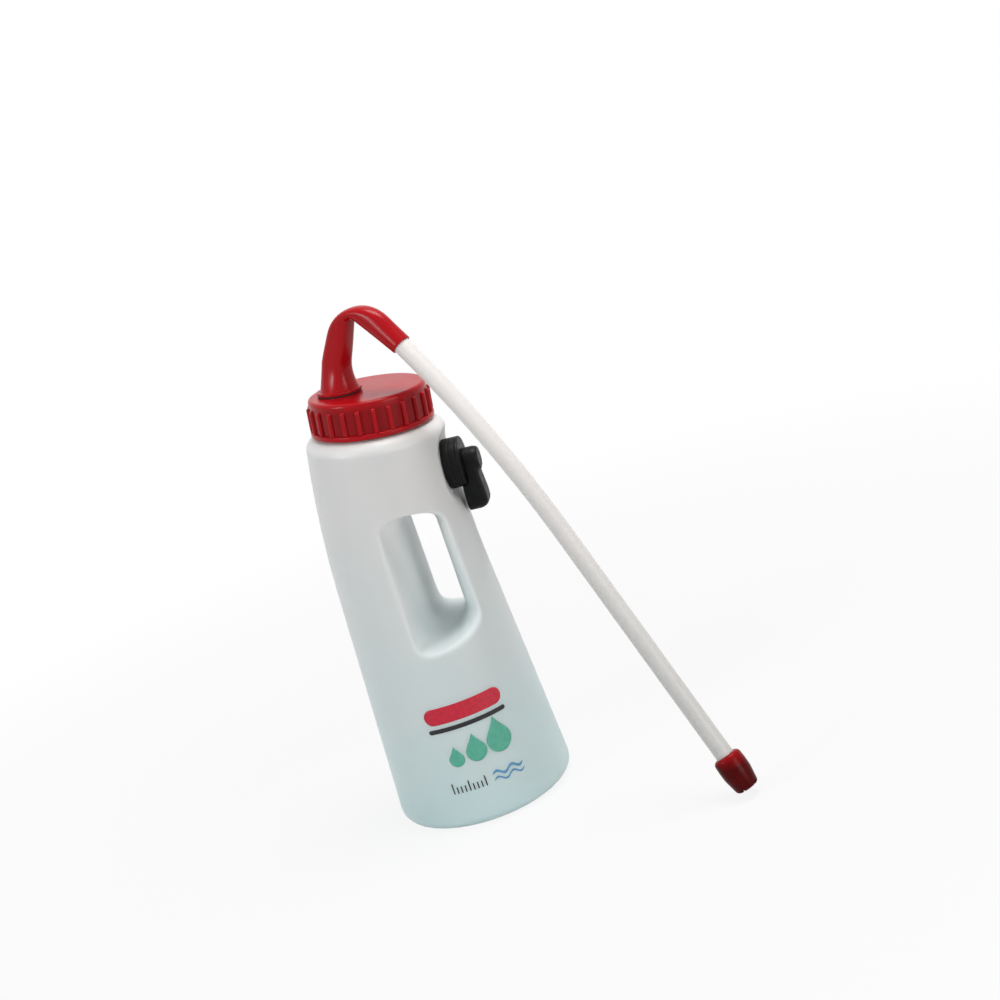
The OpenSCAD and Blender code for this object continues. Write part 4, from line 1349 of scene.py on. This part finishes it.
def add_camera(scene, stage):
    """The camera at its place, turned by its azimuth, its elevation and its roll."""
    azimuth, elevation, roll = stage.azimuth, stage.elevation, stage.roll
    level = np.array([math.cos(azimuth), math.sin(azimuth), 0])
    outward = np.array([math.sin(azimuth), -math.cos(azimuth), 0])
    back = math.cos(elevation) * outward + math.sin(elevation) * np.array([0, 0, 1])
    right = math.cos(roll) * level + math.sin(roll) * np.cross(back, level)
    scene.camera = link("camera", bpy.data.cameras.new("camera"))
    scene.camera.data.lens = stage.lens
    scene.camera.matrix_world = placed(stage.camera, right, back)


def seen_directly(tree):
    """1 for rays from the camera, and for those that a shiny or clear surface sends on."""
    path = tree.nodes.new("ShaderNodeLightPath").outputs
    shiny = calculate(tree, "MAXIMUM", path["Is Camera Ray"], path["Is Glossy Ray"])
    return calculate(tree, "MAXIMUM", shiny, path["Is Transmission Ray"])


def floor_paper(colours, stage):
    """Pale paper that keeps a soft shadow. To rays that see it directly it also glows white, in part near
    the object and wholly far from it."""
    look = Finish("floor_paper", Base_Color=(*colours.floor, 1), Roughness=1, Specular_IOR_Level=0)
    distance = look.node("VectorMath", Vector=look.object)
    distance.operation = "LENGTH"
    white = look.between(distance.outputs["Value"], stage.glow, 1, stage.glow_start, stage.glow_end)
    weight = calculate(look.tree, "MULTIPLY", seen_directly(look.tree), white)
    mix = look.node("MixShader", Fac=weight)
    feed(look.tree, mix.inputs[1], look.shader.outputs[0])
    feed(look.tree, mix.inputs[2], look.node("Emission", Color=WHITE).outputs[0])
    feed(look.tree, look.tree.nodes["Material Output"].inputs["Surface"], mix.outputs[0])
    return look.material


def add_floor(scene, stage):
    """A flat square floor."""
    half = stage.floor / 2
    mesh = bpy.data.meshes.new("floor")
    mesh.from_pydata([(-half, -half, 0), (half, -half, 0), (half, half, 0), (-half, half, 0)], [],
                     [(0, 1, 2, 3)])
    floor = link("floor", mesh)
    mesh.materials.append(floor_paper(scene.drencher_colours, stage))


def add_surroundings(scene, stage):
    """White surroundings, whose light on the object is turned down."""
    scene.world = bpy.data.worlds.new("surroundings")
    scene.world.use_nodes = True
    tree = scene.world.node_tree
    level = tree.nodes.new("ShaderNodeMapRange")
    feed(tree, level.inputs["Value"], seen_directly(tree))
    feed(tree, level.inputs["To Min"], stage.ambient)
    feed(tree, level.inputs["To Max"], 1)
    sky = tree.nodes["Background"]
    feed(tree, sky.inputs["Color"], WHITE)
    feed(tree, sky.inputs["Strength"], level.outputs[0])


def add_lamp(name, at, size, power, tint):
    """A soft square lamp."""
    lamp = bpy.data.lights.new(name, "AREA")
    lamp.size, lamp.energy, lamp.color = size, power, tint
    back = unit(np.array(at) - np.array(LAMP_AIM))
    link(name, lamp).matrix_world = placed(at, unit(np.cross([0, 0, 1], back)), back)


class DRENCHER_OT_stage(Operator):
    """Set up the camera, the pale floor, the white surroundings and the soft lamps"""

    bl_idname = "drencher.stage"
    bl_label = "Stage"

    def execute(self, context):
        scene, stage = context.scene, context.scene.drencher_stage
        scene.view_settings.view_transform = "Standard"
        add_camera(scene, stage)
        add_floor(scene, stage)
        add_surroundings(scene, stage)
        for name, settings in LAMPS.items():
            add_lamp(name, *settings)
        return {"FINISHED"}


GROUPS = {
    "drencher_bottle": BottleSizes, "drencher_grip_hole": GripHoleSizes, "drencher_cap": CapSizes,
    "drencher_spout": SpoutSizes, "drencher_probe": ProbeSizes, "drencher_valve": ValveSizes,
    "drencher_print": PrintSizes, "drencher_colours": Colours, "drencher_stage": StageSettings,
}
OPERATORS = (DRENCHER_OT_stage, DRENCHER_OT_bottle, DRENCHER_OT_cap, DRENCHER_OT_spout, DRENCHER_OT_probe,
             DRENCHER_OT_valve, DRENCHER_OT_print, DRENCHER_OT_inner_pieces)


class DRENCHER_PT_panel(Panel):
    """The drencher's operators, and the sizes and colours they use"""

    bl_idname = "DRENCHER_PT_panel"
    bl_label = "Livestock drencher"
    bl_space_type = "VIEW_3D"
    bl_region_type = "UI"
    bl_category = "Drencher"

    def draw(self, context):
        for operator in OPERATORS:
            self.layout.operator(operator.bl_idname)
        for name, group in GROUPS.items():
            box = self.layout.box()
            box.label(text=name.removeprefix("drencher_").replace("_", " ").capitalize())
            for field in group.__annotations__:
                box.prop(getattr(context.scene, name), field)


CLASSES = (*GROUPS.values(), *OPERATORS, DRENCHER_PT_panel)


def register():
    """Register the classes and give the scene their settings."""
    for cls in CLASSES:
        bpy.utils.register_class(cls)
    for name, group in GROUPS.items():
        setattr(bpy.types.Scene, name, PointerProperty(type=group))


def unregister():
    """Take the settings and the classes away again."""
    for name in GROUPS:
        delattr(bpy.types.Scene, name)
    for cls in reversed(CLASSES):
        bpy.utils.unregister_class(cls)


def main():
    """Make the whole drencher and its stage."""
    register()
    bpy.ops.drencher.stage()
    bpy.ops.drencher.bottle()
    bpy.ops.drencher.cap()
    bpy.ops.drencher.spout()
    bpy.ops.drencher.probe()
    bpy.ops.drencher.valve()
    bpy.ops.drencher.print()
    bpy.ops.drencher.inner_pieces()


if __name__ == "__main__":
    main()
